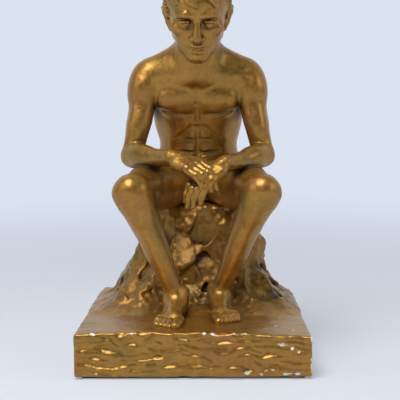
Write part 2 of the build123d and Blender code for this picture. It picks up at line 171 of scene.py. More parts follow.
def makeNoise(seed):
    size = 32  # the pattern repeats after so many cells
    lattice = np.random.default_rng(seed).random((size, size, size)).astype(np.float32)

    def noise(x, y, z):
        x, y, z = np.broadcast_arrays(x, y, z)
        cells, shares = [], []
        for value in (x, y, z):
            whole = np.floor(value)
            part = value - whole
            cells.append(whole.astype(np.int32))
            shares.append(part * part * (3 - 2 * part))
        total = 0
        for corner in range(8):
            steps = (corner & 1, corner >> 1 & 1, corner >> 2 & 1)
            weight = 1
            for share, step in zip(shares, steps):
                weight = weight * (share if step else 1 - share)
            index = tuple((cell + step) % size for cell, step in zip(cells, steps))
            total = total + weight * lattice[index]
        return total

    return noise


# Pose of the figure, in millimetres: the joints lie where the dowels of the frame are

def middleOf(node):
    low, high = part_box(node)
    return np.array((low + high) / 2) / mm


def topOf(node):
    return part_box(node)[1].z / mm


sides = {"right": -1, "left": 1}
plinthTop = topOf("plinth")
seatTop = topOf("rock_seat")
across = vec(1, 0, 0)
backward = vec(0, 1, 0)
upward = vec(0, 0, 1)

pose = {
    "hip": (10.3, 19.0, 8.6),  # out from the middle, place along Y, above the seat
    "knee": (24.0, -27.0, 6.6),
    "elbow": (26.2, -1.7, 19.3),
    "ankleHeight": 9.0,
    "trunkLength": 66.0,
    "trunkLean": math.radians(45),
    "headBow": math.radians(28),
    "headAside": 0.5,
    "headForward": 13.0,
    "headRise": 14.5,
    "footTurn": math.radians(7),
}
figureX = (middleOf("right_shoulder_dowel")[0] + middleOf("left_shoulder_dowel")[0]) / 2
neckBase = middleOf("neck_dowel")
hipY = middleOf("seat_rod")[1]


def poseSpot(name, side):
    out, y, height = pose[name]
    return vec(figureX + side * out, y, seatTop + height)


def spine(share):
    angle = pose["trunkLean"] * share
    radius = pose["trunkLength"] / pose["trunkLean"]
    point = vec(figureX, hipY - radius * (1 - math.cos(angle)), seatTop + radius * math.sin(angle))
    return point, vec(0, -math.cos(angle), -math.sin(angle)), vec(0, -math.sin(angle), math.cos(angle))


def limbFrame(start, end, upHint, side):
    along = unit(end - start)
    lift = unit(upHint - along * along.dot(upHint))
    out = np.cross(along, lift)
    if out[0] * side < 0:
        out = -out
    return out, lift, along


def figureClay():
    x, y, height = clayValues["figureLow"]
    return makeClay((x, y, plinthTop + height), clayValues["figureHigh"], clayValues["figureStep"])


# Torso: sections along the spine (share, half width, front, back, furrow, groove), then muscles on them

torsoSections = (
    (0.0, 16.9, 12.3, 13.2, 1.8, 0.0),
    (0.13, 18.2, 13.2, 14.2, 1.8, 0.0),
    (0.28, 16.9, 12.5, 12.4, 1.8, 0.0),
    (0.43, 15.6, 11.8, 10.6, 1.8, 0.0),
    (0.59, 17.3, 12.1, 11.2, 1.8, 0.4),
    (0.75, 19.0, 12.4, 11.8, 1.8, 0.8),
    (0.89, 17.0, 9.4, 10.6, 0.9, 0.4),
    (1.0, 8.6, 8.0, 8.0, 0.0, 0.0),
)
torsoShape = {
    "power": 2.38,  # how square the sections are
    "furrowWidth": 4.2,
    "seatRounding": 4.0,
    "neckRounding": 6.0,
    "room": ((-22, -40, -3), (22, 18, 72)),  # box round the trunk, from the middle of the seat
}

# share, out from the middle, forward, half sizes (across, forward, up), blend
torsoMuscles = {
    "breast": (0.735, 8.4, 8.3, (8.2, 4.6, 6.4), 2.0),
    "shoulderBlade": (0.71, 9.4, -8.8, (6.0, 3.2, 9.0), 3.0),
    "flank": (0.58, 13.6, -2.0, (4.6, 6.5, 13.0), 4.0),
    "buttock": (0.07, 8.6, -5.4, (9.2, 9.4, 9.2), 2.0),
    "loin": (0.33, 5.2, -8.2, (3.8, 3.6, 12.0), 2.5),
    "waistRoll": (0.20, 12.0, 4.0, (5.4, 6.8, 4.8), 2.5),
    "belly": (0.30, 0, 4.6, (11.0, 8.8, 7.5), 2.5),
}

# both ends (share, out from the middle, forward), radii, blend
torsoBands = {
    "trapezius": ((0.99, 3.0, -2.5), (0.89, 15.5, -1.0), (5.4, 4.4), 4),
    "shoulderMass": ((0.86, 9, 0), (0.84, 18, 0), (7.0, 6.2), 4),
    "collarBone": ((0.885, 2.2, 8.2), (0.885, 15, 4.6), (1.2, 1.4), 2.0),
}
torsoCreases = {
    "underBreast": ((0.655, 3.0, 12.9), (0.67, 13.5, 10.6), (0.8, 0.6), 1.6),
    "ribEdge": ((0.555, 2.5, 12.6), (0.44, 10, 10.6), (0.6, 0.4), 2.0),
}

# points (share, out from the middle, forward), radii, blend
torsoGrooves = {
    "lowerFold": (((0.37, -9, 10.8), (0.362, 0, 12.5), (0.37, 9, 10.8)), (0.3, 0.6, 0.3), 1.4),
    "upperFold": (((0.46, -9, 10.8), (0.452, 0, 12.5), (0.46, 9, 10.8)), (0.3, 0.6, 0.3), 1.4),
    "bellyLine": (((0.24, 0, 13.4), (0.40, 0, 12.2), (0.56, 0, 12.2)), (0.6, 0.6, 0.6), 1.5),
    "breastLine": (((0.62, 0, 12.4), (0.74, 0, 12.4), (0.86, 0, 10.0)), (0.6, 0.6, 0.6), 1.5),
}
navel = (0.29, 13.6, (0.9, 1.1, 1.4), 0.8)  # share, forward, half sizes (across, up, deep), blend


def onTrunk(share, out, forward):
    point, front, _ = spine(share)
    return point + across * out + front * forward


def sidesOf(out):
    return (-1, 1) if out else (1,)  # a form in the middle is laid once


def sculptTrunkCore(clay):
    columns = list(zip(*torsoSections))
    halfWidth, front, back, furrow, groove = (smoothCurve(columns[0], column) for column in columns[1:])
    radius = pose["trunkLength"] / pose["trunkLean"]
    power = torsoShape["power"]

    def distance(x, y, z):
        ahead, rise = y - (hipY - radius), z - seatTop
        share = np.arctan2(rise, ahead) / pose["trunkLean"]
        forward = radius - np.sqrt(ahead * ahead + rise * rise)
        out = x - figureX
        inRange = np.clip(share, 0, 1)
        dip = np.exp(-((out / torsoShape["furrowWidth"]) ** 2))
        frontDepth = front(inRange) - groove(inRange) * dip
        backDepth = back(inRange) - furrow(inRange) * dip
        depth = np.where(forward > 0, frontDepth, backDepth)
        norm = (np.abs(out / halfWidth(inRange)) ** power + np.abs(forward / depth) ** power) ** (1 / power)
        away = np.sqrt(out * out + forward * forward)
        side = away * (1 - 1 / np.maximum(norm, leastNorm))
        below = smoothMax(side, -share * pose["trunkLength"], torsoShape["seatRounding"])
        whole = smoothMax(below, (share - 1) * pose["trunkLength"], torsoShape["neckRounding"])
        return whole.astype(np.float32)

    seat = vec(figureX, hipY, seatTop)
    low, high = (seat + vec(*corner) for corner in torsoShape["room"])
    stamp(clay, low, high, distance, coreBlend, False)


def sculptTorso():
    clay = figureClay()
    sculptTrunkCore(clay)
    for share, out, forward, halves, blend in torsoMuscles.values():
        _, front, up = spine(share)
        for side in sidesOf(out):
            ellipsoid(clay, onTrunk(share, side * out, forward), (across, front, up), halves, blend)
    for side in sides.values():
        for bands, cut in ((torsoBands, False), (torsoCreases, True)):
            for start, end, radii, blend in bands.values():
                a, b = (onTrunk(share, side * out, forward) for share, out, forward in (start, end))
                capsule(clay, a, b, *radii, blend, cut)
    for points, radii, blend in torsoGrooves.values():
        chain(clay, [onTrunk(*point) for point in points], radii, blend, cut=True)
    share, forward, halves, blend = navel
    ellipsoid(clay, onTrunk(share, 0, forward), (across, upward, backward), halves, blend, cut=True)
    return clay


# Legs: share along the bone, out, up (or back on the shank), half sizes (out, up, along), blend

thighForms = (
    (0.46, 0.8, 2.4, (7.6, 7.4, 17.0), 3),
    (0.55, 4.2, 0.4, (5.2, 6.8, 15.0), 2.5),
    (0.82, -3.4, 1.0, (4.2, 4.8, 7.0), 2.5),
    (0.25, -4.6, -1.2, (6.5, 7.8, 13.0), 3.5),
    (0.46, 0.6, -4.2, (7.6, 6.2, 18.0), 3),
)
shankForms = (
    (0.30, -1.7, 3.0, (4.1, 4.2, 10.0), 2.5),
    (0.27, 2.1, 2.5, (3.7, 3.9, 9.0), 2.5),
    (0.55, 0.0, 1.5, (4.2, 3.7, 9.0), 3),
    (0.13, 0.0, -0.6, (5.6, 5.2, 8.0), 3),
)
legValues = {
    # radius at the start and at the end, blend
    "thigh": (10.9, 6.5, 5),
    "knee": (5.9, 5.9, 3),
    "kneeSide": (4.1, 3.8, 2),
    "shank": (5.6, 3.4, 3),
    "shin": (2.7, 2.3, 1.6),
    "tendon": (2.2, 2.0, 2),
    # places
    "kneecap": (4.6, (3.7, 4.3, 3.0), 1.8),  # out of the bend, half sizes, blend
    "kneeSides": (2.7, 1.4, 3.0),  # to each side, out of the bend, length
    "shinTop": (4.0, 3.0),  # below the knee, forward
    "shinFoot": (0.9, 0.8),  # share of the shank, forward
    "tendonTop": (0.62, 2.4),  # share of the shank, back
    "tendonFoot": (0, 4.3, -3.6),  # from the ankle
    "ankleBones": (((-3.1, 0.8), (-3.2, 0.0), 1.8, 1.4), ((3.2, -0.6), (3.3, -1.0), 1.7, 1.4)),
}
footValues = {
    # ahead of the ankle, inward, height; radii; blend
    "heel": ((-3.6, 0, 3.5), (4.0, 4.6, 4.0), 2),
    "ankle": ((1.5, 0, 4.6), (3.6, 4.0), 2.5),
    "forms": {
        "instep": ((0.5, 0.4, 6.6), (11.5, 1.0, 3.3), (4.0, 2.7), 3),
        "outerEdge": ((-1, -2.4, 2.4), (12, -3.3, 1.8), (2.5, 1.9), 2),
        "ball": ((13.6, 3.0, 2.3), (12.6, -3.4, 1.9), (2.5, 2.0), 2),
    },
    "toeRoot": 14.2,
    "bigToe": (3.5, 6.6, 1.95, 0.45),  # inward, length, radius, blend
    "smallToe": (0.75, 5.4, 1.32, 0.4),  # of the second toe
    "smallToeSteps": (1.78, 0.5, 0.5),  # outward, back and shorter for each further toe
    # share of the length, inward, height, share of the radius
    "bigToeShape": ((0, 0, 2.1, 1), (0.55, 0, 2.2, 0.9), (1, -0.4, 1.7, 0.88)),
    "smallToeShape": ((0, 0, 2.0, 1), (0.5, 0, 2.5, 0.88), (1, 0, 1.2, 0.92)),
}


def layForms(clay, start, end, axes, forms):
    out, lift, along = axes
    length = np.linalg.norm(end - start)
    for share, sideways, rise, halves, blend in forms:
        centre = start + along * (length * share) + out * sideways + lift * rise
        ellipsoid(clay, centre, axes, halves, blend)


def sculptThigh(clay, side, hip, knee):
    capsule(clay, hip, knee, *legValues["thigh"])
    layForms(clay, hip, knee, limbFrame(hip, knee, upward, side), thighForms)


def sculptShank(clay, side, knee, ankle, thighWay):
    values = legValues
    axes = limbFrame(knee, ankle, backward, side)
    out, back, along = axes
    length = np.linalg.norm(ankle - knee)
    bend = unit(thighWay - along)  # points out of the bent knee
    capsule(clay, knee, knee, *values["knee"])
    proud, halves, blend = values["kneecap"]
    ellipsoid(clay, knee + bend * proud, (out, unit(np.cross(out, bend)), bend), halves, blend)
    aside, proud, long = values["kneeSides"]
    for way in (-1, 1):
        place = knee + out * (way * aside) + bend * proud
        capsule(clay, place, place + along * long, *values["kneeSide"])
    capsule(clay, knee, ankle, *values["shank"])
    below, forward = values["shinTop"]
    shinTop = knee + along * below - back * forward
    share, forward = values["shinFoot"]
    shinFoot = knee + along * (length * share) - back * forward
    capsule(clay, shinTop, shinFoot, *values["shin"])
    layForms(clay, knee, ankle, axes, shankForms)
    share, behind = values["tendonTop"]
    tendonTop = knee + along * (length * share) + back * behind
    capsule(clay, tendonTop, ankle + vec(*values["tendonFoot"]), *values["tendon"])
    for start, end, radius, blend in values["ankleBones"]:
        a, b = (ankle + out * aside + upward * rise for aside, rise in (start, end))
        capsule(clay, a, b, radius, radius, blend)


def sculptFoot(clay, side, sole, ankle):
    values = footValues
    turn = pose["footTurn"]
    ahead = vec(side * math.sin(turn), -math.cos(turn), 0)
    inward = vec(-side * math.cos(turn), -math.sin(turn), 0)

    def spot(forward, inside, height):
        return sole + ahead * forward + inward * inside + upward * height

    def layToe(shape, root, inside, length, radius, blend):
        points = [spot(root + length * share, inside + aside, height) for share, aside, height, _ in shape]
        chain(clay, points, [radius * thick for *_, thick in shape], blend)

    place, halves, blend = values["heel"]
    ellipsoid(clay, spot(*place), (inward, ahead, upward), halves, blend)
    place, radii, blend = values["ankle"]
    capsule(clay, ankle, spot(*place), *radii, blend)
    for start, end, radii, blend in values["forms"].values():
        capsule(clay, spot(*start), spot(*end), *radii, blend)
    layToe(values["bigToeShape"], values["toeRoot"], *values["bigToe"])
    inside, length, radius, blend = values["smallToe"]
    outward, further, shorter = values["smallToeSteps"]
    for k in range(4):
        root = values["toeRoot"] - further * k
        toe = (inside - outward * k, length - shorter * k, radius, blend)
        layToe(values["smallToeShape"], root, *toe)


def sculptLeg(name):
    side = sides[name]
    clay = figureClay()
    sole = middleOf(f"{name}_foot_dowel")
    ankle = sole + upward * pose["ankleHeight"]
    hip, knee = poseSpot("hip", side), poseSpot("knee", side)
    sculptThigh(clay, side, hip, knee)
    sculptShank(clay, side, knee, ankle, unit(knee - hip))
    sculptFoot(clay, side, sole, ankle)
    return clay


# Arms: share along the bone, out, forward (or up on the forearm), half sizes (out, forward, along), blend

upperArmForms = (
    (0.13, 1.2, 0.0, (6.4, 7.6, 10.0), 3),
    (0.55, -0.2, 2.2, (4.2, 4.0, 9.5), 2),
    (0.50, 0.8, -2.3, (4.3, 4.0, 11.0), 2),
)
forearmForms = (
    (0.24, 0.8, 1.3, (3.9, 3.7, 8.0), 2),
    (0.30, -0.4, -1.1, (3.9, 3.6, 9.5), 2),
)
armValues = {
    "shoulderOut": 2,
    "upper": (5.6, 4.1, 3),  # radius at the start and at the end, blend
    "fore": (4.3, 2.9, 2),
    "elbowPoint": ((2.4, 0.8), (2.2, 0.0), 2.4, 1.6),  # both ends (back, along the arm), radius, blend
}


def sculptArm(name):
    side = sides[name]
    clay = figureClay()
    shoulder = middleOf(f"{name}_shoulder_dowel") + across * (side * armValues["shoulderOut"])
    elbow, wrist = poseSpot("elbow", side), middleOf(f"{name}_wrist_dowel")
    axes = limbFrame(shoulder, elbow, -backward, side)
    capsule(clay, shoulder, elbow, *armValues["upper"])
    layForms(clay, shoulder, elbow, axes, upperArmForms)
    _, ahead, along = axes
    start, end, radius, blend = armValues["elbowPoint"]
    a, b = (elbow - ahead * behind + along * further for behind, further in (start, end))
    capsule(clay, a, b, radius, radius, blend)
    capsule(clay, elbow, wrist, *armValues["fore"])
    layForms(clay, elbow, wrist, limbFrame(elbow, wrist, upward, side), forearmForms)
    return clay


# Hands: the right one lies over the left

handValues = {
    "way": {"right": (16.5, -10.0, -6.5), "left": (-15.0, -9.0, -11.5)},
    "back": {"right": (0, -0.45, 0.9), "left": (-0.3, -0.6, 0.75)},
    "wrist": (-1.5, 3.0, 3.0, 1.5),  # start and end along the hand, radius, blend
    "palmLength": 9.5,
    "palmHalf": (4.9, 2.3),
    "palmMiddle": 0.58,  # share of the palm's length
    "palmRounding": 2.0,
    "palmBlend": 1.5,
    "fingerLengths": (11.4, 12.4, 11.8, 9.8),  # index to little finger
    "fingerRadius": 1.5,
    "fingerInset": 0.9,  # share of the radius
    "fingerShares": (0.44, 0.31, 0.25),  # of the finger's length, for each bone
    "fingerBends": (14, 26, 22),  # degrees at each joint
    "fingerTaper": (1.1, 1.0, 0.9, 0.74),
    "fingerBlend": 0.3,
    "rootStep": 0.05,  # share of the palm's length that a finger starts behind the longest
    "boneLift": 0.35,
    "knuckle": (0.3, 1.02, 0.6),  # lift, share of the radius, blend
    "tendon": (0.5, 0.75, 1.0),
    "tendonLifts": (1.6, 1.0),  # at the wrist and at the knuckle
    "thumbLength": 9.5,
    "thumbRadius": 1.75,
    "thumbRoot": (2.2, 2.6, -0.4),  # along the hand, aside, towards the back of the hand
    "thumbSpread": (0.5, 0.25),  # aside and towards the palm
    "thumbCurl": (0.35, 0.25),
    "thumbShares": (0.5, 0.33, 0.28),
    "thumbTaper": (1.2, 1.0, 0.95, 0.72),
    "thumbBlend": 0.6,
}


def sculptThumb(clay, wrist, way, thumbward, back):
    values = handValues
    along, aside, lift = values["thumbRoot"]
    root = wrist + way * along + thumbward * aside + back * lift
    spread, drop = values["thumbSpread"]
    thumbWay = unit(way + thumbward * spread - back * drop)
    turn, curl = values["thumbCurl"]
    tipWay = unit(thumbWay + way * turn)
    points = [root]
    for boneWay, share in zip((thumbWay, tipWay, unit(tipWay - back * curl)), values["thumbShares"]):
        points.append(points[-1] + boneWay * (values["thumbLength"] * share))
    radii = [values["thumbRadius"] * thick for thick in values["thumbTaper"]]
    chain(clay, points, radii, values["thumbBlend"])


def sculptHand(clay, name):
    values = handValues
    way = unit(vec(*values["way"][name]))
    back = vec(*values["back"][name])
    back = unit(back - way * way.dot(back))
    thumbward = np.cross(way, back)
    if thumbward[1] < 0:
        thumbward = -thumbward
    wrist = middleOf(f"{name}_wrist_dowel")
    start, end, radius, blend = values["wrist"]
    capsule(clay, wrist + way * start, wrist + way * end, radius, radius, blend)
    length, (halfWidth, halfDepth) = values["palmLength"], values["palmHalf"]
    palm = wrist + way * (length * values["palmMiddle"])
    halves = (halfWidth, halfDepth, length / 2)
    roundBox(clay, palm, (thumbward, back, way), halves, values["palmRounding"], values["palmBlend"])
    radius = values["fingerRadius"]
    edge = halfWidth - radius * values["fingerInset"]
    pitch = 2 * edge / (len(values["fingerLengths"]) - 1)
    startLift, endLift = values["tendonLifts"]
    for k, fingerLength in enumerate(values["fingerLengths"]):
        sideways = edge - pitch * k
        root = wrist + way * (length * (1 - values["rootStep"] * abs(k - 1))) + thumbward * sideways
        tendonTop = wrist + way * end + thumbward * (sideways / 2) + back * startLift
        capsule(clay, tendonTop, root + back * endLift, *values["tendon"])
        points, turn = [root + back * values["boneLift"]], 0
        for share, bend in zip(values["fingerShares"], values["fingerBends"]):
            turn += math.radians(bend)
            boneWay = way * math.cos(turn) - back * math.sin(turn)
            points.append(points[-1] + boneWay * (fingerLength * share))
        chain(clay, points, [radius * thick for thick in values["fingerTaper"]], values["fingerBlend"])
        lift, thick, blend = values["knuckle"]
        for joint in points[:2]:
            capsule(clay, joint + back * lift, joint + back * lift, radius * thick, radius * thick, blend)
    sculptThumb(clay, wrist, way, thumbward, back)


def sculptHands():
    clay = figureClay()
    for name in sides:
        sculptHand(clay, name)
    return clay


# Head: sections from the chin to the crown (share of the height, half width, front, back), then the
# features, which are placed by their reach out from the middle, towards the face and up

headSections = (
    (0.03, 4.0, 11.5, -4.0),
    (0.13, 6.7, 12.5, 1.3),
    (0.25, 8.7, 12.6, 5.1),
    (0.38, 10.0, 12.3, 9.1),
    (0.5, 10.6, 11.9, 12.3),
    (0.62, 11.2, 12.6, 14.2),
    (0.75, 10.8, 11.8, 13.7),
    (0.87, 8.5, 8.3, 11.0),
    (0.95, 4.9, 4.3, 6.7),
)
headShape = {"height": 31.5, "rounding": 2.0, "room": 19}
headForms = {
    "crown": (0, -1.4, 5.0, (10.6, 12.4, 9.8), 3),
    "cheekBone": (6.6, 8.0, -2.9, (3.2, 2.8, 2.2), 2.5),
    "chin": (0, 11.0, -12.6, (3.0, 2.7, 2.3), 2),
    "muzzle": (0, 9.9, -8.2, (4.4, 3.4, 3.4), 2.5),
}
neckValues = {
    "foot": (0.97, 0, -0.6),  # on the trunk
    "nape": (0, -4.2, -3.0),
    "neck": (7.6, 7.2, 3),  # radius at the start and at the end, blend
    "tendonTop": (7.2, -4.0, -4.5),
    "tendonFoot": (0.92, 2.2, 6.8),
    "tendon": (2.4, 1.9, 2.2),
}
faceValues = {
    "eye": (4.3, 9.5, 0.0),
    "eyeRadius": 2.3,
    "eyeBlend": 0.3,
    "socket": (4.3, 12.4, -0.2),
    "socketHalves": (3.0, 2.1, 1.9),
    "socketBlend": 1.4,
    "nostril": (1.8, 12.7, -5.5),
    "nostrilHalves": (1.15, 1.5, 1.1),
    "nostrilBlend": 0.7,
    "mouth": (0, 0, -9.0),
}

# points from the middle of the head, from the eye or from the mouth; radii; blend
faceLines = {
    "jaw": (((7.0, 0.2, -8.6), (1.5, 10.0, -13.2)), (2.7, 2.2), 3),
    "brow": (((1.6, 12.1, 2.6), (4.2, 11.7, 3.3), (7.0, 9.4, 2.6)), (1.1, 1.2, 0.9), 1.6),
    "upperLid": (
        ((-2.3, 1.3, 0.0), (-1.1, 2.35, 0.75), (0.4, 2.45, 0.85), (1.8, 1.7, 0.3), (2.6, 0.8, -0.4)),
        (0.4, 0.55, 0.55, 0.5, 0.35),
        0.5,
    ),
    "lowerLid": (((-2.0, 1.4, -0.7), (0.2, 2.1, -1.4), (2.2, 1.2, -0.8)), (0.3, 0.4, 0.3), 0.6),
    "nose": (((0, 11.6, 1.6), (0, 14.6, -5.0)), (1.15, 1.5), 1.2),
    "underNose": (((0, 12.4, -6.4), (0, 12.9, -8.0)), (1.1, 0.9), 1.2),
    "upperLip": (((0, 13.5, 0.9), (1.5, 13.2, 1.1), (3.7, 11.6, 0.1)), (0.9, 0.95, 0.4), 0.5),
    "lowerLip": (((0, 13.1, -1.3), (1.5, 12.8, -1.2), (3.4, 11.5, -0.3)), (1.15, 1.05, 0.4), 0.5),
    "mouthLine": (((0, 14.6, -0.1), (2.0, 13.9, 0.0), (4.0, 12.0, 0.1)), (0.42, 0.38, 0.25), 0.4),
    "earRim": (
        (
            (10.0, 0.2, -6.4), (11.2, -1.6, -4.6), (12.6, -3.2, -1.2), (12.8, -2.5, 1.0), (12.2, -0.6, 1.5),
            (11.6, 0.5, -0.2), (11.2, 0.3, -2.0),
        ),
        (1.1, 0.9, 0.85, 0.85, 0.8, 0.7, 0.6),
        0.5,
    ),
    "earShell": (((9.2, -0.6, -5.2), (10.6, -1.4, -0.8)), (1.3, 1.6), 0.6),
}
hairValues = {
    "cap": (12.0, 14.4, 11.5),
    "capMiddle": (-0.9, 4.1),  # towards the face, up
    "capMean": 12.5,  # turns a share of the cap's size into millimetres
    "capBlend": 0.6,
    "room": 20,
    "hairline": (4.7, 3.8),
    "hairlineWay": (0.8, -0.6),
    "hairlineRounding": 1.2,
    "rows": ((72, 4), (38, 9), (-1, 12)),  # latitude and count of the tufts
    "fringeLatitude": 36,  # locks that start above it may hang over the forehead
    "tuftLengths": (7.5, 9.0),
    "tuftProud": 1.1,
    "tuftCrown": 0.09,  # how fast a tuft falls off to its sides
    "sweep": math.radians(35),
    "strands": 5,
    "strandSteps": 6,
    "strandRadius": 0.8,
    "strandPitch": 0.85,
    "strandSink": 0.6,  # share of the radius that lies in the cap
    "strandBlend": 0.3,
    "rootBack": 1.5,  # a strand starts this far above its row
    "gather": (1.1, 0.75),  # the strands of a tuft run to a point
    "wave": (0.5, 5.0),  # reach to each side, and turn along the strand
    "combCounts": (18, 38),  # grooves round the head above and below the split
    "combSplit": math.radians(50),
    "combLowest": math.radians(-32),
    "combTwist": 0.55,
    "combWave": 0.13,
    "combDepth": 0.75,
    "combEdge": 1.5,  # the grooves fade out this far from the hairline
    "combInner": 0.93,  # share of the cap's size under which nothing is combed
}
headUp = vec(0, -math.sin(pose["headBow"]), math.cos(pose["headBow"]))
headFace = vec(0, -math.cos(pose["headBow"]), -math.sin(pose["headBow"]))
headAxes = (across, headFace, headUp)
headMiddle = neckBase + vec(pose["headAside"], -pose["headForward"], pose["headRise"])


def onHead(out, ahead, up):
    return headMiddle + across * out + headFace * ahead + headUp * up


def mirrored(side, place):
    out, ahead, up = place
    return onHead(side * out, ahead, up)


def faceLine(clay, name, side, origin=(0, 0, 0), cut=False):
    points, radii, blend = faceLines[name]
    spots = [mirrored(side, vec(*origin) + vec(*point)) for point in points]
    chain(clay, spots, radii, blend, cut)


def sculptFace(clay):
    values = faceValues
    for side in sides.values():
        faceLine(clay, "jaw", side)
        faceLine(clay, "brow", side)
        socket = mirrored(side, values["socket"])
        ellipsoid(clay, socket, headAxes, values["socketHalves"], values["socketBlend"], cut=True)
    for side in sides.values():
        ball = mirrored(side, values["eye"])
        capsule(clay, ball, ball, values["eyeRadius"], values["eyeRadius"], values["eyeBlend"])
        faceLine(clay, "upperLid", side, values["eye"])
        faceLine(clay, "lowerLid", side, values["eye"])
    faceLine(clay, "nose", 1)
    faceLine(clay, "underNose", 1)
    for side in sides.values():
        nostril = mirrored(side, values["nostril"])
        ellipsoid(clay, nostril, headAxes, values["nostrilHalves"], values["nostrilBlend"])
        faceLine(clay, "upperLip", side, values["mouth"])
        faceLine(clay, "lowerLip", side, values["mouth"])
    for side in sides.values():
        faceLine(clay, "mouthLine", side, values["mouth"], cut=True)


def sculptEars(clay):
    for side in sides.values():
        faceLine(clay, "earRim", side)
        faceLine(clay, "earShell", side)


def scalpSpot(longitude, latitude, proud):
    halfAcross, halfAhead, halfUp = (half + proud for half in hairValues["cap"])
    ahead, up = hairValues["capMiddle"]
    out = math.cos(latitude) * math.sin(longitude) * halfAcross
    forward = math.cos(latitude) * math.cos(longitude) * halfAhead
    return onHead(out, forward + ahead, math.sin(latitude) * halfUp + up)


def layStrand(clay, longitude, latitude, length, side, lift, phase):
    values = hairValues
    reach, sweep, radius = values["cap"][0], values["sweep"], values["strandRadius"]
    spread, gather = values["gather"]
    waveReach, waveTurn = values["wave"]
    points, radii = [], []
    for step in range(values["strandSteps"] + 1):
        share = step / values["strandSteps"]
        slide = (length * share - values["rootBack"]) / reach
        sway = (side * (spread - gather * share) + waveReach * math.sin(phase + share * waveTurn)) / reach
        lower = latitude - slide * math.cos(sweep) + sway * math.sin(sweep)
        narrow = max(math.cos(lower), 0.4)  # the rings are shorter near the crown
        swept = longitude + (slide * math.sin(sweep) + sway * math.cos(sweep)) / narrow
        proud = lift * math.sin(math.pi * (0.12 + 0.8 * share)) - radius * values["strandSink"]
        points.append(scalpSpot(swept, lower, proud))
        radii.append(radius * (0.7 + 0.9 * share - 1.15 * share * share))  # thickest before the middle
    chain(clay, points, radii, values["strandBlend"])


def combHair(clay, origin, way):
    values = hairValues
    where, axes = window(clay, headMiddle - values["room"], headMiddle + values["room"])
    field = clay["field"][where]
    spots = np.nonzero(np.abs(field) < 1.5)  # close to the surface
    place = np.stack([axis.ravel()[index] for axis, index in zip(axes, spots)], 1)
    away = place - onHead(0, *values["capMiddle"])
    out, ahead, rise = (away @ axis / half for axis, half in zip(headAxes, values["cap"]))
    level = np.sqrt(out * out + ahead * ahead)
    longitude, latitude = np.arctan2(out, ahead), np.arctan2(rise, level)
    turn = longitude + values["combTwist"] * (math.pi / 2 - latitude)
    turn = turn + values["combWave"] * np.sin(7 * latitude + 2 * longitude)
    upper, lower = values["combCounts"]
    count = np.where(latitude > values["combSplit"], upper, lower)
    groove = (1 - np.abs(np.sin(count * turn / 2))) ** 2
    onHair = np.clip(-((place - origin) @ way) / values["combEdge"], 0, 1)
    onHair = onHair * (np.sqrt(level**2 + rise**2) > values["combInner"]) * (latitude > values["combLowest"])
    field[spots] += values["combDepth"] * groove * onHair


def sculptHair(clay):
    values = hairValues
    ahead, up = values["capMiddle"]
    lineAhead, lineUp = values["hairline"]
    wayAhead, wayUp = values["hairlineWay"]
    origin, way = onHead(0, lineAhead, lineUp), headFace * wayAhead + headUp * wayUp
    fringe = math.radians(values["fringeLatitude"])

    def capDistance(x, y, z):
        past = (x - origin[0]) * way[0] + (y - origin[1]) * way[1] + (z - origin[2]) * way[2]
        px, py, pz = x - headMiddle[0], y - headMiddle[1], z - headMiddle[2]
        outer = 0
        for axis, half, shift in zip(headAxes, values["cap"], (0, ahead, up)):
            outer = outer + ((px * axis[0] + py * axis[1] + pz * axis[2] - shift) / half) ** 2
        return smoothMax((np.sqrt(outer) - 1) * values["capMean"], past, values["hairlineRounding"])

    def grows(longitude, latitude):
        return latitude > fringe or (scalpSpot(longitude, latitude, 0) - origin) @ way < 0

    room = values["room"]
    stamp(clay, headMiddle - room, headMiddle + room, capDistance, values["capBlend"], False)
    random = np.random.default_rng(11)
    for row, (degrees, count) in enumerate(values["rows"]):
        latitude = math.radians(degrees)
        for k in range(count):
            longitude = 2 * math.pi * (k + row / 2) / count
            if not grows(longitude, latitude):
                continue
            phase = random.uniform(0, 6)
            length = random.uniform(*values["tuftLengths"])
            for strand in range(values["strands"]):
                side = (strand - (values["strands"] - 1) / 2) * values["strandPitch"]
                lift = values["tuftProud"] * (1 - values["tuftCrown"] * side * side)
                layStrand(clay, longitude, latitude, length, side, lift, phase)
    combHair(clay, origin, way)


def sculptHeadCore(clay):
    columns = list(zip(*headSections))
    halfWidth, front, back = (smoothCurve(columns[0], column) for column in columns[1:])
    lowest, highest = columns[0][0], columns[0][-1]
    height = headShape["height"]

    def distance(x, y, z):
        px, py, pz = x - headMiddle[0], y - headMiddle[1], z - headMiddle[2]
        ahead = py * headFace[1] + pz * headFace[2]
        up = py * headUp[1] + pz * headUp[2]
        share = up / height + 0.5
        inRange = np.clip(share, lowest, highest)
        halfDepth = (front(inRange) + back(inRange)) / 2
        ahead = ahead - (front(inRange) - back(inRange)) / 2
        norm = np.sqrt((px / halfWidth(inRange)) ** 2 + (ahead / halfDepth) ** 2)
        side = np.sqrt(px * px + ahead * ahead) * (1 - 1 / np.maximum(norm, leastNorm))
        ends = np.maximum(lowest - share, share - highest) * height
        return smoothMax(side, ends, headShape["rounding"]).astype(np.float32)

    room = headShape["room"]
    stamp(clay, headMiddle - room, headMiddle + room, distance, coreBlend, False)


def sculptNeck(clay):
    values = neckValues
    capsule(clay, onTrunk(*values["foot"]), onHead(*values["nape"]), *values["neck"])
    share, out, forward = values["tendonFoot"]
    for side in sides.values():
        tendonTop = mirrored(side, values["tendonTop"])
        capsule(clay, tendonTop, onTrunk(share, side * out, forward), *values["tendon"])


def sculptHead():
    clay = figureClay()
    sculptHeadCore(clay)
    for out, ahead, up, halves, blend in headForms.values():
        for side in sidesOf(out):
            ellipsoid(clay, onHead(side * out, ahead, up), headAxes, halves, blend)
    sculptNeck(clay)
    sculptFace(clay)
    sculptHair(clay)
    sculptEars(clay)
    return clay


# Base: plinth with a hewn edge, and a rock that spreads over it

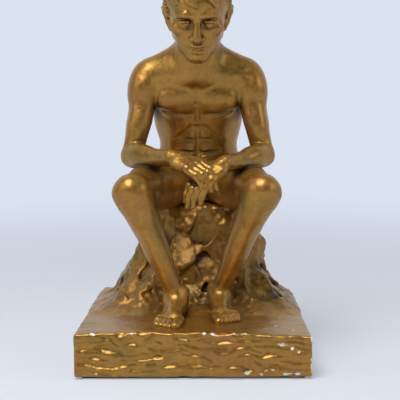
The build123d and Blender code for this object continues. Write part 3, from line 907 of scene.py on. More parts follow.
plinthValues = {
    "edgeRounding": 1.0,
    "ledges": ((3.1, 4.5, 0.8), (1.9, 3.2, 0.5)),  # pitch, length and depth of the hewn flakes
    "ledgeLip": 0.32,
    "ledgeFall": 1.3,
    "sideShare": 0.8,  # the sides are smoother than the front and the back
    "cornerKeep": 4,  # the relief fades out this far from the corners
    "edgeKeep": 3,  # and this far from the top edge of a side
    "topSwell": 0.45,
    "topGrain": 0.2,
    "strokes": 0.12,
    "crown": 1.1,  # rise of the top's middle over its corners
    "crownBack": (8, 60),  # the crown starts this far from the back edge, and is full this much further
    "tilt": -0.5,
}
rockValues = {
    # the solid's own outline: corners at levels, each level a share of the height
    "levels": (0.0, 0.1, 0.24, 0.42, 0.62, 0.82, 1.0),
    "corners": 14,
    "waistHalf": (25.5, 21.5),
    "seatDraw": 3.5,
    "margin": 1.2,
    "frontReach": 15.0,
    "roughness": 0.06,
    "cornerPower": (0.4, 0.5),  # at the foot, and what the seat has more: the lower, the squarer
    "softness": 0.9,  # rounds the edges
    "facets": 260,
    "facetRoom": ((-42, 42), (-16, 44)),  # in X and in Y
    "facetTilt": 0.3,
    "facetHeight": 0.5,
    "facetLimit": 1.8,
    "facetFoot": 10,  # the facets are flatter under this height
    "grains": ((0.8, 5, 7), (0.8, 1.8, 1.8)),  # depth, width and height of the lumps
    "topSink": 0.5,
    "topGrain": (0.8, 5),
    "topRounding": 1.5,
    "blend": 4.0,
    "rockShade": 0.34,  # painted shade: darkens and dulls the paint on the rock, which lies in the figure's shade
    "rockShadeFade": 3,
}
chipValues = {
    # place along the front edge, share of the face's height, half length, half height
    "spots": (
        (4.1, 1.0, 0.6, 0.4), (7.2, 1.0, 0.8, 0.5), (15.0, 1.0, 0.4, 0.25), (18.7, 1.01, 0.6, 0.25),
        (22.7, 1.0, 0.3, 0.25), (25.2, 1.0, 0.4, 0.25), (28.0, 0.99, 0.3, 0.25), (33.8, 0.99, 0.8, 0.5),
        (37.4, 1.0, 0.5, 0.3), (41.4, 0.98, 1.5, 0.6), (42.6, 0.9, 0.5, 1.3), (32.0, 0.74, 1.0, 0.3),
        (38.1, 0.58, 0.4, 0.3), (35.6, 0.66, 0.3, 0.25), (42.7, 0.22, 0.4, 1.3), (42.6, 0.4, 0.25, 0.5),
        (19.6, 0.10, 0.7, 0.5), (24.7, 0.07, 0.3, 0.3), (28.4, 0.17, 0.5, 0.3), (33.2, 0.06, 1.4, 0.4),
        (37.6, 0.08, 1.0, 0.35), (-36.0, 1.0, 0.7, 0.3), (-22.0, 1.0, 0.3, 0.25), (-35.0, 0.09, 0.3, 0.25),
    ),
    "depth": 0.8,
    "flecks": ((30.5, -30.5), (36.5, -37.0), (33.0, -18.0)),  # on the top
    "fleckHalves": (0.35, 0.35, 0.7),
    "raggedness": 0.8,
    "sink": 0.25,  # the hollow stays this far inside its chip
    "whiteReach": 0.2,  # and the white shows this far round it
    "whiteFade": 0.6,
}


def plinthBox():
    return tuple(np.array(corner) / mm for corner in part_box("plinth"))


def hewnRelief(along, z, noise):
    values = plinthValues
    lip = values["ledgeLip"]
    warp = 5.0 * (noise(along / 13, z / 9, 5.5) - 0.5)  # bends the ledges
    warp = warp + 3.0 * (noise(along / 4.2, z / 3.5, 1.5) - 0.5)
    total = 0.35 * (noise(along / 5, (z + warp) / 1.3, 2.7) - 0.5) + 0.17  # fine grain, never above the face
    for pitch, length, depth in values["ledges"]:
        phase = (z + warp + length) / pitch
        row = np.floor(phase)
        part = phase - row
        strength = np.clip((noise(along / length, row * 3.7, pitch) - 0.4) / 0.24, 0, 1)  # they come and go
        fall = np.clip((1 - part) / (1 - lip), 0, 1) ** values["ledgeFall"]
        total = total + depth * strength * np.where(part < lip, part / lip, fall)
    return total


def sculptChips(clay, noise):
    low, high = plinthBox()
    values = chipValues
    forms = []
    for along, share, long, tall in values["spots"]:
        height = low[2] + (high[2] - low[2] + 0.5) * share
        forms.append(((along, low[1] + 0.4, height), (long, values["depth"], tall)))
    forms += [((x, y, high[2] + 0.2), values["fleckHalves"]) for x, y in values["flecks"]]
    chips = np.full(clay["field"].shape, clayValues["far"], np.float32)
    for place, halves in forms:
        margin = vec(*halves) + 2
        part, (px, py, pz) = window(clay, vec(*place) - margin, vec(*place) + margin)
        ragged = values["raggedness"] * (noise(px / 0.7, py / 0.7, pz / 0.7) - 0.5)
        reach = ((px - place[0]) / halves[0]) ** 2 + ((py - place[1]) / halves[1]) ** 2
        reach = np.sqrt(reach + ((pz - place[2]) / halves[2]) ** 2)
        chips[part] = np.minimum(chips[part], (reach - 1) * min(halves) + ragged)
    clay["field"] = np.maximum(clay["field"], -chips - values["sink"])
    return chips


def sculptPlinth(clay):
    low, high = plinthBox()
    noise = makeNoise(3)
    x, y, z = wholeGrid(clay)
    values = plinthValues
    edge = values["edgeRounding"]
    inFromX = np.clip((high[0] - np.abs(x)) / values["cornerKeep"], 0, 1)  # the corners keep their place
    inFromY = np.clip((high[1] - np.abs(y)) / values["cornerKeep"], 0, 1)
    frontRelief = hewnRelief(x - 100, z, noise) * inFromX  # the sides take another part of the noise
    belowEdge = np.clip((high[2] - z) / values["edgeKeep"], 0, 1)
    sideRelief = values["sideShare"] * hewnRelief(y + 300, z, noise) * inFromY * belowEdge
    start, full = values["crownBack"]
    crown = values["crown"] * (1 - (x / high[0]) ** 2) * np.clip((high[1] - start - y) / full, 0, 1)
    rise = crown + values["tilt"] * x / high[0]
    rise = rise + values["topSwell"] * (noise(x / 9, y / 7, 3.1) - 0.8)
    rise = rise + values["topGrain"] * (noise(x / 2.5, y / 2, 8.2) - 0.5)
    rise = rise + values["strokes"] * (noise(x / 6, y / 0.9, 6.6) - 0.5)
    pastX = np.abs(x) - (high[0] - edge) + sideRelief
    pastY = np.abs(y) - (high[1] - edge) + frontRelief
    pastZ = np.maximum(z - (high[2] - edge) - rise, low[2] + edge - z)
    outside = np.sqrt(np.maximum(pastX, 0) ** 2 + np.maximum(pastY, 0) ** 2 + np.maximum(pastZ, 0) ** 2)
    inside = np.minimum(np.maximum(np.maximum(pastX, pastY), pastZ), 0)
    clay["field"][:] = outside + inside - edge
    return sculptChips(clay, noise)


def rockOutlines():
    values = rockValues
    _, high = plinthBox()
    spreadHalf = high[0] - values["margin"]
    spreadBack = high[1] - values["margin"]
    spreadDeep = (spreadBack + values["frontReach"]) / 2
    halfWide, halfDeep = values["waistHalf"]
    footPower, morePower = values["cornerPower"]
    outlines = []
    for level, share in enumerate(values["levels"]):
        flare = (1 - share) ** 4
        draw = values["seatDraw"] * share**6
        halfX = halfWide + (spreadHalf - halfWide) * flare - draw
        halfY = halfDeep + (spreadDeep - halfDeep) * flare - draw
        middleY = hipY + (spreadBack - spreadDeep - hipY) * flare
        angle = 2 * math.pi * (np.arange(values["corners"]) + 0.5) / values["corners"]
        wave = np.sin(3 * angle + 2.1 * level) + 0.7 * np.cos(5 * angle - 1.3 * level)
        rough = 1 + values["roughness"] * min(1, 4 * share) * wave
        c, s = np.cos(angle), np.sin(angle)
        power = footPower + morePower * share
        cornerX = figureX * (1 - flare) + halfX * rough * np.sign(c) * np.abs(c) ** power
        cornerY = middleY + halfY * rough * np.sign(s) * np.abs(s) ** power
        outlines.append(np.stack((cornerX, cornerY), 1))
    return np.array(outlines)


def outlineDistance(outline, x, y):
    middle = outline.mean(0)
    corners = outline - middle
    turns = np.arctan2(corners[:, 1], corners[:, 0])
    order = np.argsort(turns)
    corners, turns = corners[order], turns[order]
    px, py = np.broadcast_arrays(x - middle[0], y - middle[1])
    first = np.searchsorted(turns, np.arctan2(py, px)) - 1
    a, b = corners[first], corners[(first + 1) % len(corners)]
    sideX, sideY = b[..., 0] - a[..., 0], b[..., 1] - a[..., 1]
    reach = np.sqrt(px * px + py * py)
    hit = (a[..., 0] * sideY - a[..., 1] * sideX) / np.maximum(px * sideY - py * sideX, 1e-3)
    return np.where(reach < 2, reach - 20, reach * (1 - hit))  # close to the middle the rule has no meaning


def softened(field, step, width):
    reach = max(1, round(2 * width / step))
    kernel = np.exp(-0.5 * (np.arange(-reach, reach + 1) * step / width) ** 2)
    kernel /= kernel.sum()
    for axis in range(3):
        pads = [(reach, reach) if k == axis else (0, 0) for k in range(3)]
        padded = np.pad(field, pads, mode="edge")
        total = 0
        for k, weight in enumerate(kernel):
            total = total + weight * np.take(padded, range(k, k + field.shape[axis]), axis=axis)
        field = total
    return field.astype(np.float32)


def chiselFacets(place):
    values = rockValues
    random = np.random.default_rng(5)
    nearest = np.full(len(place), 1e6, np.float32)
    lift = np.zeros(len(place), np.float32)
    roomX, roomY = values["facetRoom"]
    for _ in range(values["facets"]):
        seed = vec(random.uniform(*roomX), random.uniform(*roomY), random.uniform(plinthTop, seatTop + 2))
        tilt = unit(random.normal(size=3)) * values["facetTilt"]
        height = random.uniform(-1, 1) * values["facetHeight"]
        away = place - seed.astype(np.float32)
        reach = (away * away * (1, 1, 0.5)).sum(1)  # facets are taller than wide
        closer = reach < nearest
        lift = np.where(closer, height + away @ tilt, lift)
        nearest = np.where(closer, reach, nearest)
    foot = np.clip((place[:, 2] - plinthTop) / values["facetFoot"], 0.05, 1)
    return np.clip(lift, -values["facetLimit"], values["facetLimit"]) * foot


def sculptRock(clay):
    values = rockValues
    x, y, z = wholeGrid(clay)
    levels, outlines = np.array(values["levels"]), rockOutlines()
    field = np.empty(clay["field"].shape, np.float32)
    for k, height in enumerate(z[0, 0]):
        share = np.clip((height - plinthTop) / (seatTop - plinthTop), 0, 1)
        first = min(np.searchsorted(levels, share, side="right") - 1, len(levels) - 2)
        part = (share - levels[first]) / (levels[first + 1] - levels[first])
        outline = outlines[first] * (1 - part) + outlines[first + 1] * part
        field[:, :, k] = outlineDistance(outline, x[:, :, 0], y[:, :, 0])
    slopes = np.gradient(field, clay["step"])
    field /= np.maximum(np.sqrt(sum(slope * slope for slope in slopes)), 1)
    field = softened(field, clay["step"], values["softness"])
    spots = np.nonzero(np.abs(field) < 4)  # what lies deeper or further out has no relief
    place = np.stack(spots, 1).astype(np.float32) * clay["step"] + clay["low"].astype(np.float32)
    field[spots] -= chiselFacets(place)
    field = softened(field, clay["step"], values["softness"] / 2)
    noise = makeNoise(8)
    px, py, pz = place.T
    for depth, width, tall in values["grains"]:
        field[spots] -= depth * (noise(px / width, py / width, pz / tall) - 0.5)
    depth, width = values["topGrain"]
    top = z - seatTop + values["topSink"] + depth * noise(x / width, y / width, 4.4)
    return np.maximum(smoothMax(field, top, values["topRounding"]), plinthTop - values["blend"] - z)


# Meshing: one mesh of all the clay, cut into one closed piece for each casting

def sample(clay, points):
    spots = (points - clay["low"]) / clay["step"]
    counts = np.array(clay["field"].shape)
    whole = np.clip(np.floor(spots).astype(int), 0, counts - 2)
    part = np.clip(spots - whole, 0, 1)
    total = 0
    for corner in range(8):
        steps = np.array((corner & 1, corner >> 1 & 1, corner >> 2 & 1))
        weight = np.prod(np.where(steps, part, 1 - part), axis=1)
        index = whole + steps
        total = total + weight * clay["field"][index[:, 0], index[:, 1], index[:, 2]]
    beyond = spots - np.clip(spots, 0, counts - 1)
    return total + np.linalg.norm(beyond, axis=1) * clay["step"]


def meshClay(clay):
    grid = openvdb.FloatGrid(clayValues["far"])
    grid.copyFromArray(clay["field"])
    points, quads = grid.convertToQuads(0.0)
    points = points.astype(float) * clay["step"] + clay["low"]
    normals = np.zeros_like(points)
    for k in range(3):
        offset = np.zeros(3)
        offset[k] = clay["step"]
        normals[:, k] = sample(clay, points + offset) - sample(clay, points - offset)
    normals /= np.maximum(np.linalg.norm(normals, axis=1), 1e-6)[:, None]
    return points, quads.astype(np.int64), normals


occlusionReach = (0.8, 1.6, 3.0, 5.0)  # how far out a point looks for other surfaces; the more it finds, the darker its paint is made, as painted shade


# Painted shade: a value from 0 to 1 for how closely other surfaces hem a point in, which the paint turns
# into dark colour in the hollows
def occlusionShade(clay, points, normals):
    total = 0
    for far in occlusionReach:
        total = total + np.clip(1 - sample(clay, points + normals * far) / far, 0, 1)
    return total / len(occlusionReach)


def boundaryLoops(quads):
    edges = np.stack((quads, np.roll(quads, -1, axis=1)), axis=2).reshape(-1, 2)
    keys = edges.min(1) * (edges.max() + 1) + edges.max(1)
    _, first, counts = np.unique(keys, return_index=True, return_counts=True)
    border = edges[first[counts == 1]]
    following = {}
    for a, b in border:
        following.setdefault(int(a), []).append(int(b))
    loops = []
    while following:
        start = next(iter(following))
        loop, spot = [], start
        while spot in following:
            loop.append(spot)
            ahead = following[spot].pop()
            if not following[spot]:
                del following[spot]
            spot = ahead
        loops.append(loop)
    return loops


def pieceFrom(name, points, quads, normals, values):
    used, inverse = np.unique(quads, return_inverse=True)
    quads = inverse.reshape(-1, 4)
    points, normals = points[used], normals[used]
    values = {key: value[used] for key, value in values.items()}
    caps, centres, centreNormals = [], [], []
    for loop in boundaryLoops(quads):
        centre = len(points) + len(centres)
        centres.append(points[loop].mean(0) - normals[loop].mean(0))
        centreNormals.append(-unit(normals[loop].mean(0) + 1e-6))
        caps += [(loop[(k + 1) % len(loop)], loop[k], centre) for k in range(len(loop))]
    if centres:
        points = np.vstack((points, centres))
        normals = np.vstack((normals, centreNormals))
        values = {key: np.concatenate((value, np.ones(len(centres)))) for key, value in values.items()}
    mesh = bpy.data.meshes.new(name)
    corners = np.concatenate((quads.ravel(), np.array(caps, dtype=np.int64).ravel()))
    sizes = np.concatenate((np.full(len(quads), 4), np.full(len(caps), 3)))
    mesh.vertices.add(len(points))
    mesh.vertices.foreach_set("co", (points * mm).astype(np.float32).ravel())
    mesh.loops.add(len(corners))
    mesh.loops.foreach_set("vertex_index", corners.astype(np.int32))
    mesh.polygons.add(len(sizes))
    mesh.polygons.foreach_set("loop_start", (np.cumsum(sizes) - sizes).astype(np.int32))
    mesh.polygons.foreach_set("use_smooth", np.ones(len(sizes), bool))
    mesh.update(calc_edges=True)
    for key, value in values.items():
        layer = mesh.attributes.new(key, "FLOAT", "POINT")
        layer.data.foreach_set("value", value.astype(np.float32))
    mesh.normals_split_custom_set_from_vertices([tuple(n) for n in normals])
    piece = bpy.data.objects.new(name, mesh)
    bpy.context.scene.collection.objects.link(piece)
    return piece


# Materials

def newMaterial(name):
    material = bpy.data.materials.new(name)
    material.use_nodes = True
    nodes, links = material.node_tree.nodes, material.node_tree.links
    return material, nodes, links, nodes["Principled BSDF"]


def addNode(nodes, kind, **settings):
    node = nodes.new(kind)
    for key, value in settings.items():
        if key in node.inputs.keys():
            node.inputs[key].default_value = value
        else:
            setattr(node, key, value)
    return node


def noiseNode(nodes, links, coords, scale, detail):
    node = addNode(nodes, "ShaderNodeTexNoise", Scale=scale, Detail=detail)
    links.new(coords, node.inputs["Vector"])
    return node.outputs["Fac"]


def grey(level):
    return (level, level, level)


def rampNode(nodes, links, source, stops):
    node = nodes.new("ShaderNodeValToRGB")
    while len(node.color_ramp.elements) < len(stops):
        node.color_ramp.elements.new(0.5)
    for element, (place, colour) in zip(node.color_ramp.elements, stops):
        element.position = place
        element.color = (*colour, 1)
    links.new(source, node.inputs["Fac"])
    return node.outputs["Color"]


def mixNode(nodes, links, kind, factor, first, second):
    node = addNode(nodes, "ShaderNodeMix", data_type="RGBA", blend_type=kind)
    for socket, source in zip((node.inputs[0], node.inputs[6], node.inputs[7]), (factor, first, second)):
        if isinstance(source, (int, float)):
            socket.default_value = source
        elif isinstance(source, tuple):
            socket.default_value = (*source, 1)
        else:
            links.new(source, socket)
    return node.outputs[2]


def addBumps(nodes, links, shader, height, values):
    bump = addNode(nodes, "ShaderNodeBump", Strength=values["bump"], Distance=values["bumpHeight"])
    links.new(height, bump.inputs["Height"])
    links.new(bump.outputs["Normal"], shader.inputs["Normal"])


def mixShaders(nodes, links, share, first, second, output):
    mix = nodes.new("ShaderNodeMixShader")
    for source, socket in zip((share, first.outputs[0], second.outputs[0]), mix.inputs):
        links.new(source, socket)
    links.new(mix.outputs[0], nodes[output].inputs["Surface"])


paintValues = {
    "gold": (0.45, 0.232, 0.038),
    "copper": (0.41, 0.196, 0.044),
    "olive": (0.33, 0.188, 0.036),
    # painted shade: the dark brown that the hollows are painted, where shade falls
    "shadeColour": (0.035, 0.02, 0.009),
    "plaster": (0.84, 0.82, 0.77),
    "scales": (60, 700, 420),  # of the blotches, the speckle and the bumps
    "toneStops": (0.36, 0.5, 0.64),
    "speckleStops": ((0.3, 0.6), (0.65, 1.0)),
    "speckleShare": 0.6,
    "shadeStops": ((0.25, 0), (0.45, 0.36), (0.8, 0.9)),  # painted shade: how far the colour goes to the shade colour for each level of occlusion
    "chipStops": ((0.45, 0), (0.6, 1)),
    "roughStops": ((0.3, 0.3), (0.7, 0.44)),
    "shadeRough": 0.66,
    "plasterRough": 0.9,
    "metallic": 0.75,
    "coat": 0.2,
    "coatRoughness": 0.3,
    "bump": 0.22,
    "bumpHeight": 0.0006,
}


def goldPaint():
    material, nodes, links, shader = newMaterial("goldPaint")
    values = paintValues
    coords = nodes.new("ShaderNodeTexCoord").outputs["Object"]
    blotchScale, speckleScale, bumpScale = values["scales"]
    blotches = noiseNode(nodes, links, coords, blotchScale, 4)
    speckle = noiseNode(nodes, links, coords, speckleScale, 5)

    def greyRamp(source, stops):
        return rampNode(nodes, links, source, [(place, grey(level)) for place, level in stops])

    tones = zip(values["toneStops"], (values["olive"], values["gold"], values["copper"]))
    tone = rampNode(nodes, links, blotches, tuple(tones))
    grain = greyRamp(speckle, values["speckleStops"])
    tone = mixNode(nodes, links, "MULTIPLY", values["speckleShare"], tone, grain)
    # Painted shade: where the occlusion value is high, the colour is mixed towards the dark shade colour and
    # the paint is made rougher
    occlusion = addNode(nodes, "ShaderNodeAttribute", attribute_name="occlusionShade").outputs["Fac"]
    shadeShare = greyRamp(occlusion, values["shadeStops"])
    tone = mixNode(nodes, links, "MIX", shadeShare, tone, values["shadeColour"])
    chipped = addNode(nodes, "ShaderNodeAttribute", attribute_name="chip").outputs["Fac"]
    white = greyRamp(chipped, values["chipStops"])
    colour = mixNode(nodes, links, "MIX", white, tone, values["plaster"])
    links.new(colour, shader.inputs["Base Color"])
    metal = mixNode(nodes, links, "MIX", white, grey(values["metallic"]), grey(0))
    links.new(metal, shader.inputs["Metallic"])
    rough = greyRamp(speckle, values["roughStops"])
    rough = mixNode(nodes, links, "MIX", shadeShare, rough, grey(values["shadeRough"]))
    rough = mixNode(nodes, links, "MIX", white, rough, grey(values["plasterRough"]))
    links.new(rough, shader.inputs["Roughness"])
    shader.inputs["Coat Weight"].default_value = values["coat"]
    shader.inputs["Coat Roughness"].default_value = values["coatRoughness"]
    addBumps(nodes, links, shader, noiseNode(nodes, links, coords, bumpScale, 5), values)
    return material


steelValues = {
    "markScale": 1400,
    "tones": ((0.3, (0.42, 0.42, 0.43)), (0.7, (0.62, 0.62, 0.63))),
    "rough": ((0.2, grey(0.28)), (0.8, grey(0.45))),
}


def turnedSteel():
    material, nodes, links, shader = newMaterial("turnedSteel")
    coords = nodes.new("ShaderNodeTexCoord").outputs["Object"]
    marks = noiseNode(nodes, links, coords, steelValues["markScale"], 3)
    links.new(rampNode(nodes, links, marks, steelValues["tones"]), shader.inputs["Base Color"])
    links.new(rampNode(nodes, links, marks, steelValues["rough"]), shader.inputs["Roughness"])
    shader.inputs["Metallic"].default_value = 1.0
    return material


feltValues = {
    "bevel": 0.00025,
    "cuts": 24,
    "fibreScale": 1600,
    "tones": ((0.3, (0.012, 0.03, 0.016)), (0.7, (0.04, 0.085, 0.05))),
    "rough": 0.95,
    "sheen": 0.4,
    "bump": 0.5,
    "bumpHeight": 0.0004,
}


def woolFelt():
    material, nodes, links, shader = newMaterial("woolFelt")
    values = feltValues
    coords = nodes.new("ShaderNodeTexCoord").outputs["Object"]
    fibres = noiseNode(nodes, links, coords, values["fibreScale"], 6)
    links.new(rampNode(nodes, links, fibres, values["tones"]), shader.inputs["Base Color"])
    shader.inputs["Roughness"].default_value = values["rough"]
    shader.inputs["Sheen Weight"].default_value = values["sheen"]
    addBumps(nodes, links, shader, fibres, values)
    return material


# Stages

figureValues = {
    "tooling": ((0.16, 3.4), (0.08, 1.0)),  # depth and width of the marks left by the tool
    "headBlend": 5.0,
    "legBlend": 1.6,
    "armBlend": (0.45, 2.6, 160),  # anywhere, more at the shoulder, how fast that falls off
    "handBlend": 0.5,
    "soleSink": 0.05,
}


def handTooled(clay):
    spots = np.nonzero(np.abs(clay["field"]) < 1)  # close to the surface
    x, y, z = (spots[k].astype(np.float32) * clay["step"] + clay["low"][k] for k in range(3))
    noise = makeNoise(21)
    for depth, width in figureValues["tooling"]:
        clay["field"][spots] += depth * (noise(x / width, y / width, z / width) - 0.5)


def castPiece(name, points, quads, normals, values, paint):
    piece = pieceFrom(name + "_cast", points, quads, normals, values)
    finishPiece(piece, name, paint)
    print(name, len(piece.data.polygons), "faces")


def mergeClay(target, other, blend):
    target["field"] = softMin(target["field"], other["field"], blend)


def buildFigure(paint):
    sections = {
        "torso": sculptTorso(),
        "head": sculptHead(),
        "right_leg": sculptLeg("right"),
        "left_leg": sculptLeg("left"),
        "right_arm": sculptArm("right"),
        "left_arm": sculptArm("left"),
        "folded_hands": sculptHands(),
    }
    print("figure sculpted")
    whole = figureClay()
    whole["field"] = sections["torso"]["field"].copy()
    mergeClay(whole, sections["head"], figureValues["headBlend"])
    for name in sides:
        mergeClay(whole, sections[f"{name}_leg"], figureValues["legBlend"])
    x, y, z = wholeGrid(whole)
    blend, more, spread = figureValues["armBlend"]
    for name in sides:
        shoulder = middleOf(f"{name}_shoulder_dowel")
        away = (x - shoulder[0]) ** 2 + (y - shoulder[1]) ** 2 + (z - shoulder[2]) ** 2
        mergeClay(whole, sections[f"{name}_arm"], blend + more * np.exp(-away / spread))
    mergeClay(whole, sections["folded_hands"], figureValues["handBlend"])
    handTooled(whole)
    whole["field"] = np.maximum(whole["field"], plinthTop - figureValues["soleSink"] - z)
    points, quads, normals = meshClay(whole)
    # painted shade: the occlusion value darkens the paint in the hollows; chip marks the bare plaster
    values = {"occlusionShade": occlusionShade(whole, points, normals), "chip": np.zeros(len(points))}
    centres = points[quads].mean(1)
    nearest = np.argmin([sample(clay, centres) for clay in sections.values()], axis=0)
    for k, name in enumerate(sections):
        castPiece(name, points, quads[nearest == k], normals, values, paint)


def buildBase(paint):
    low, high = plinthBox()
    plinth = makeClay(low - 1, (high[0] + 1, high[1] + 1, seatTop + 1), clayValues["baseStep"])
    chips = sculptPlinth(plinth)
    rock = sculptRock(plinth)
    whole = dict(plinth)
    whole["field"] = softMin(plinth["field"], rock, rockValues["blend"]).astype(np.float32)
    x, y, _ = wholeGrid(whole)
    pastFaces = np.maximum(np.abs(x) - high[0], np.abs(y) - high[1])
    whole["field"] = np.maximum(whole["field"], pastFaces).astype(np.float32)
    points, quads, normals = meshClay(whole)
    chipClay = {**whole, "field": chips}
    rockClay = {**whole, "field": rock.astype(np.float32)}
    nearer = sample(plinth, points) - sample(rockClay, points)
    rockShare = np.clip(0.5 + nearer / rockValues["rockShadeFade"], 0, 1)
    inChip = chipValues["whiteReach"] - sample(chipClay, points)
    # painted shade: the occlusion value, plus more on the rock, which lies in the figure's shade; chip marks
    # the bare plaster
    values = {
        "occlusionShade": occlusionShade(whole, points, normals) + rockValues["rockShade"] * rockShare,
        "chip": np.clip(0.5 + inChip / chipValues["whiteFade"], 0, 1),
    }
    quads = quads[points[quads][:, :, 2].max(1) > low[2] + 0.02]  # the flat underside is closed anew
    centres = points[quads].mean(1)
    onRock = sample(rockClay, centres) < sample(plinth, centres)
    for name, chosen in (("rock_seat", onRock), ("plinth", ~onRock)):
        castPiece(name, points, quads[chosen], normals, values, paint)


def buildFelt(felt):
    low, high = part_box("felt_pad")
    bpy.ops.object.select_all(action="DESELECT")
    bpy.ops.mesh.primitive_cube_add(size=1, location=(low + high) / 2)
    pad = bpy.context.object
    pad.name = "felt_pad_sheet"
    pad.dimensions = high - low
    bpy.ops.object.transform_apply(location=True, rotation=True, scale=True)
    bpy.ops.object.mode_set(mode="EDIT")
    bpy.ops.mesh.select_all(action="SELECT")
    bpy.ops.mesh.bevel(offset=feltValues["bevel"], segments=2, affect="EDGES")
    bpy.ops.mesh.subdivide(number_cuts=feltValues["cuts"])
    bpy.ops.object.mode_set(mode="OBJECT")
    bpy.ops.object.shade_smooth_by_angle(angle=math.radians(40))
    finishPiece(pad, "felt_pad", felt)


def finishPiece(piece, node, material):
    piece.data.materials.clear()
    piece.data.materials.append(material)
    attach(piece, "root")
    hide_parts(node)


def dressFasteners(steel):
    for name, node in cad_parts.items():
        if name.endswith("dowel") or name in ("seat_rod", "seat_nut", "seat_washer"):
            node.data.materials.clear()
            node.data.materials.append(steel)


# Studio

cameraValues = {
    "place": (0.0074, -0.3449, 0.0920),
    "pitch": 5.19,
    "yaw": 0.82,
    "roll": 0.34,
    "lens": 77.2,
}
lightValues = {
    # place, aims at, width, power
    "overhead": ((-0.12, -0.30, 0.56), (0, 0, 0.06), 0.36, 3.1),
    "left": ((-0.6, -0.35, 0.34), (0, 0, 0.07), 0.3, 0.5),
    "right": ((0.6, -0.2, 0.34), (0, 0, 0.07), 0.3, 0.5),
}
stageValues = {
    "cloth": (0.80, 0.83, 0.89),
    "seen": (0.73, 0.785, 0.90),  # the backdrop as the camera sees it
    # from the front to the back
    "room": ((0.15, (0.1, 0.1, 0.105)), (0.5, (0.22, 0.225, 0.24)), (0.8, (0.7, 0.75, 0.85))),
    "glow": ((0.15, 0.3), (0.55, 0.95)),  # distance from the object, share of its own light
    "clothRough": 0.8,
    "back": 0.9,
    "height": 1.6,
    "halfWidth": 1.6,
    "front": -1.6,
    "sweep": 0.5,
}


def buildCamera():
    camera = bpy.data.objects.new("camera", bpy.data.cameras.new("camera"))
    camera.data.lens = cameraValues["lens"]
    camera.data.clip_start = 0.01
    camera.location = cameraValues["place"]
    camera.rotation_mode = "XYZ"
    turn = (90 - cameraValues["pitch"], cameraValues["roll"], cameraValues["yaw"])
    camera.rotation_euler = [math.radians(angle) for angle in turn]
    bpy.context.scene.collection.objects.link(camera)
    bpy.context.scene.camera = camera


def buildLights():
    for name, (place, aim, width, power) in lightValues.items():
        lamp = bpy.data.lights.new(name, "AREA")
        lamp.size = width
        lamp.energy = power
        light = bpy.data.objects.new(name, lamp)
        light.location = place
        way = unit(vec(*aim) - vec(*place))
        light.rotation_euler = (math.acos(-way[2]), 0, math.atan2(way[1], way[0]) - math.pi / 2)
        bpy.context.scene.collection.objects.link(light)


def addBackdrop():
    values = stageValues
    bpy.ops.object.select_all(action="DESELECT")
    bpy.ops.mesh.primitive_plane_add(size=2, location=(0, 0, 0))
    cloth = bpy.context.object
    cloth.name = "backdrop"
    deep = (values["back"] - values["front"]) / 2
    cloth.scale = (values["halfWidth"], deep, 1)
    cloth.location = (0, values["front"] + deep, 0)
    bpy.ops.object.transform_apply(location=True, rotation=True, scale=True)
    nearBack = values["back"] - 0.01  # only the cloth's rear edge lies further back
    for line in cloth.data.edges:
        line.select = min(cloth.data.vertices[k].co.y for k in line.vertices) > nearBack
    for spot in cloth.data.vertices:
        spot.select = spot.co.y > nearBack
    for face in cloth.data.polygons:
        face.select = False
    bpy.ops.object.mode_set(mode="EDIT")
    bpy.ops.mesh.select_mode(type="EDGE")
    bpy.ops.mesh.extrude_region_move(TRANSFORM_OT_translate={"value": (0, 0, values["height"])})
    bpy.ops.mesh.select_all(action="DESELECT")
    bpy.ops.object.mode_set(mode="OBJECT")
    for line in cloth.data.edges:
        spots = [cloth.data.vertices[k].co for k in line.vertices]
        line.select = min(s.y for s in spots) > nearBack and max(s.z for s in spots) < 0.01
    bpy.ops.object.mode_set(mode="EDIT")
    bpy.ops.mesh.bevel(offset=values["sweep"], segments=16, affect="EDGES")
    bpy.ops.object.mode_set(mode="OBJECT")
    bpy.ops.object.shade_smooth()
    return cloth


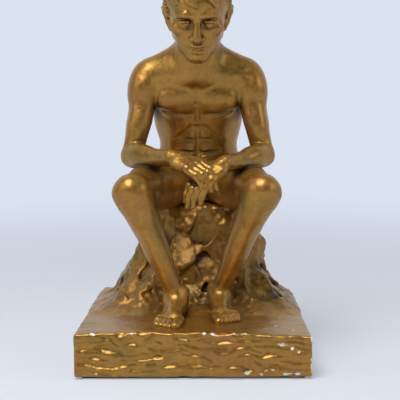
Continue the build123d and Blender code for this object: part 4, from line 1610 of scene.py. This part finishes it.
def seenRay(nodes, links):
    ray = nodes.new("ShaderNodeLightPath")
    source = ray.outputs["Is Camera Ray"]
    for kind in ("Is Glossy Ray", "Is Transmission Ray"):
        either = addNode(nodes, "ShaderNodeMath", operation="MAXIMUM")
        links.new(source, either.inputs[0])
        links.new(ray.outputs[kind], either.inputs[1])
        source = either.outputs[0]
    return source


def paleCloth():
    material, nodes, links, shader = newMaterial("paleCloth")
    values = stageValues
    shader.inputs["Base Color"].default_value = (*values["cloth"], 1)
    shader.inputs["Roughness"].default_value = values["clothRough"]
    glow = addNode(nodes, "ShaderNodeEmission", Color=(*values["seen"], 1))
    away = addNode(nodes, "ShaderNodeVectorMath", operation="LENGTH")
    links.new(nodes.new("ShaderNodeTexCoord").outputs["Object"], away.inputs[0])
    stops = [(distance, grey(level)) for distance, level in values["glow"]]
    share = addNode(nodes, "ShaderNodeMath", operation="MULTIPLY")
    links.new(rampNode(nodes, links, away.outputs["Value"], stops), share.inputs[0])
    links.new(seenRay(nodes, links), share.inputs[1])
    mixShaders(nodes, links, share.outputs[0], shader, glow, "Material Output")
    return material


def buildStage():
    values = stageValues
    cloth = addBackdrop()
    cloth.data.materials.append(paleCloth())
    world = bpy.data.worlds.new("studio")
    world.use_nodes = True
    nodes, links = world.node_tree.nodes, world.node_tree.links
    room = nodes["Background"]
    parts = nodes.new("ShaderNodeSeparateXYZ")
    links.new(nodes.new("ShaderNodeTexCoord").outputs["Generated"], parts.inputs[0])
    turned = addNode(nodes, "ShaderNodeMapRange")
    turned.inputs["From Min"].default_value = -1
    links.new(parts.outputs["Y"], turned.inputs["Value"])
    links.new(rampNode(nodes, links, turned.outputs["Result"], values["room"]), room.inputs["Color"])
    seen = addNode(nodes, "ShaderNodeBackground", Color=(*values["seen"], 1))
    cameraRay = nodes.new("ShaderNodeLightPath").outputs["Is Camera Ray"]
    mixShaders(nodes, links, cameraRay, room, seen, "World Output")
    bpy.context.scene.world = world
    bpy.context.scene.view_settings.view_transform = "Standard"


paint = goldPaint()
buildFigure(paint)
buildBase(paint)
buildFelt(woolFelt())
dressFasteners(turnedSteel())
print("pieces made")
buildCamera()
buildLights()
buildStage()
print("studio set")
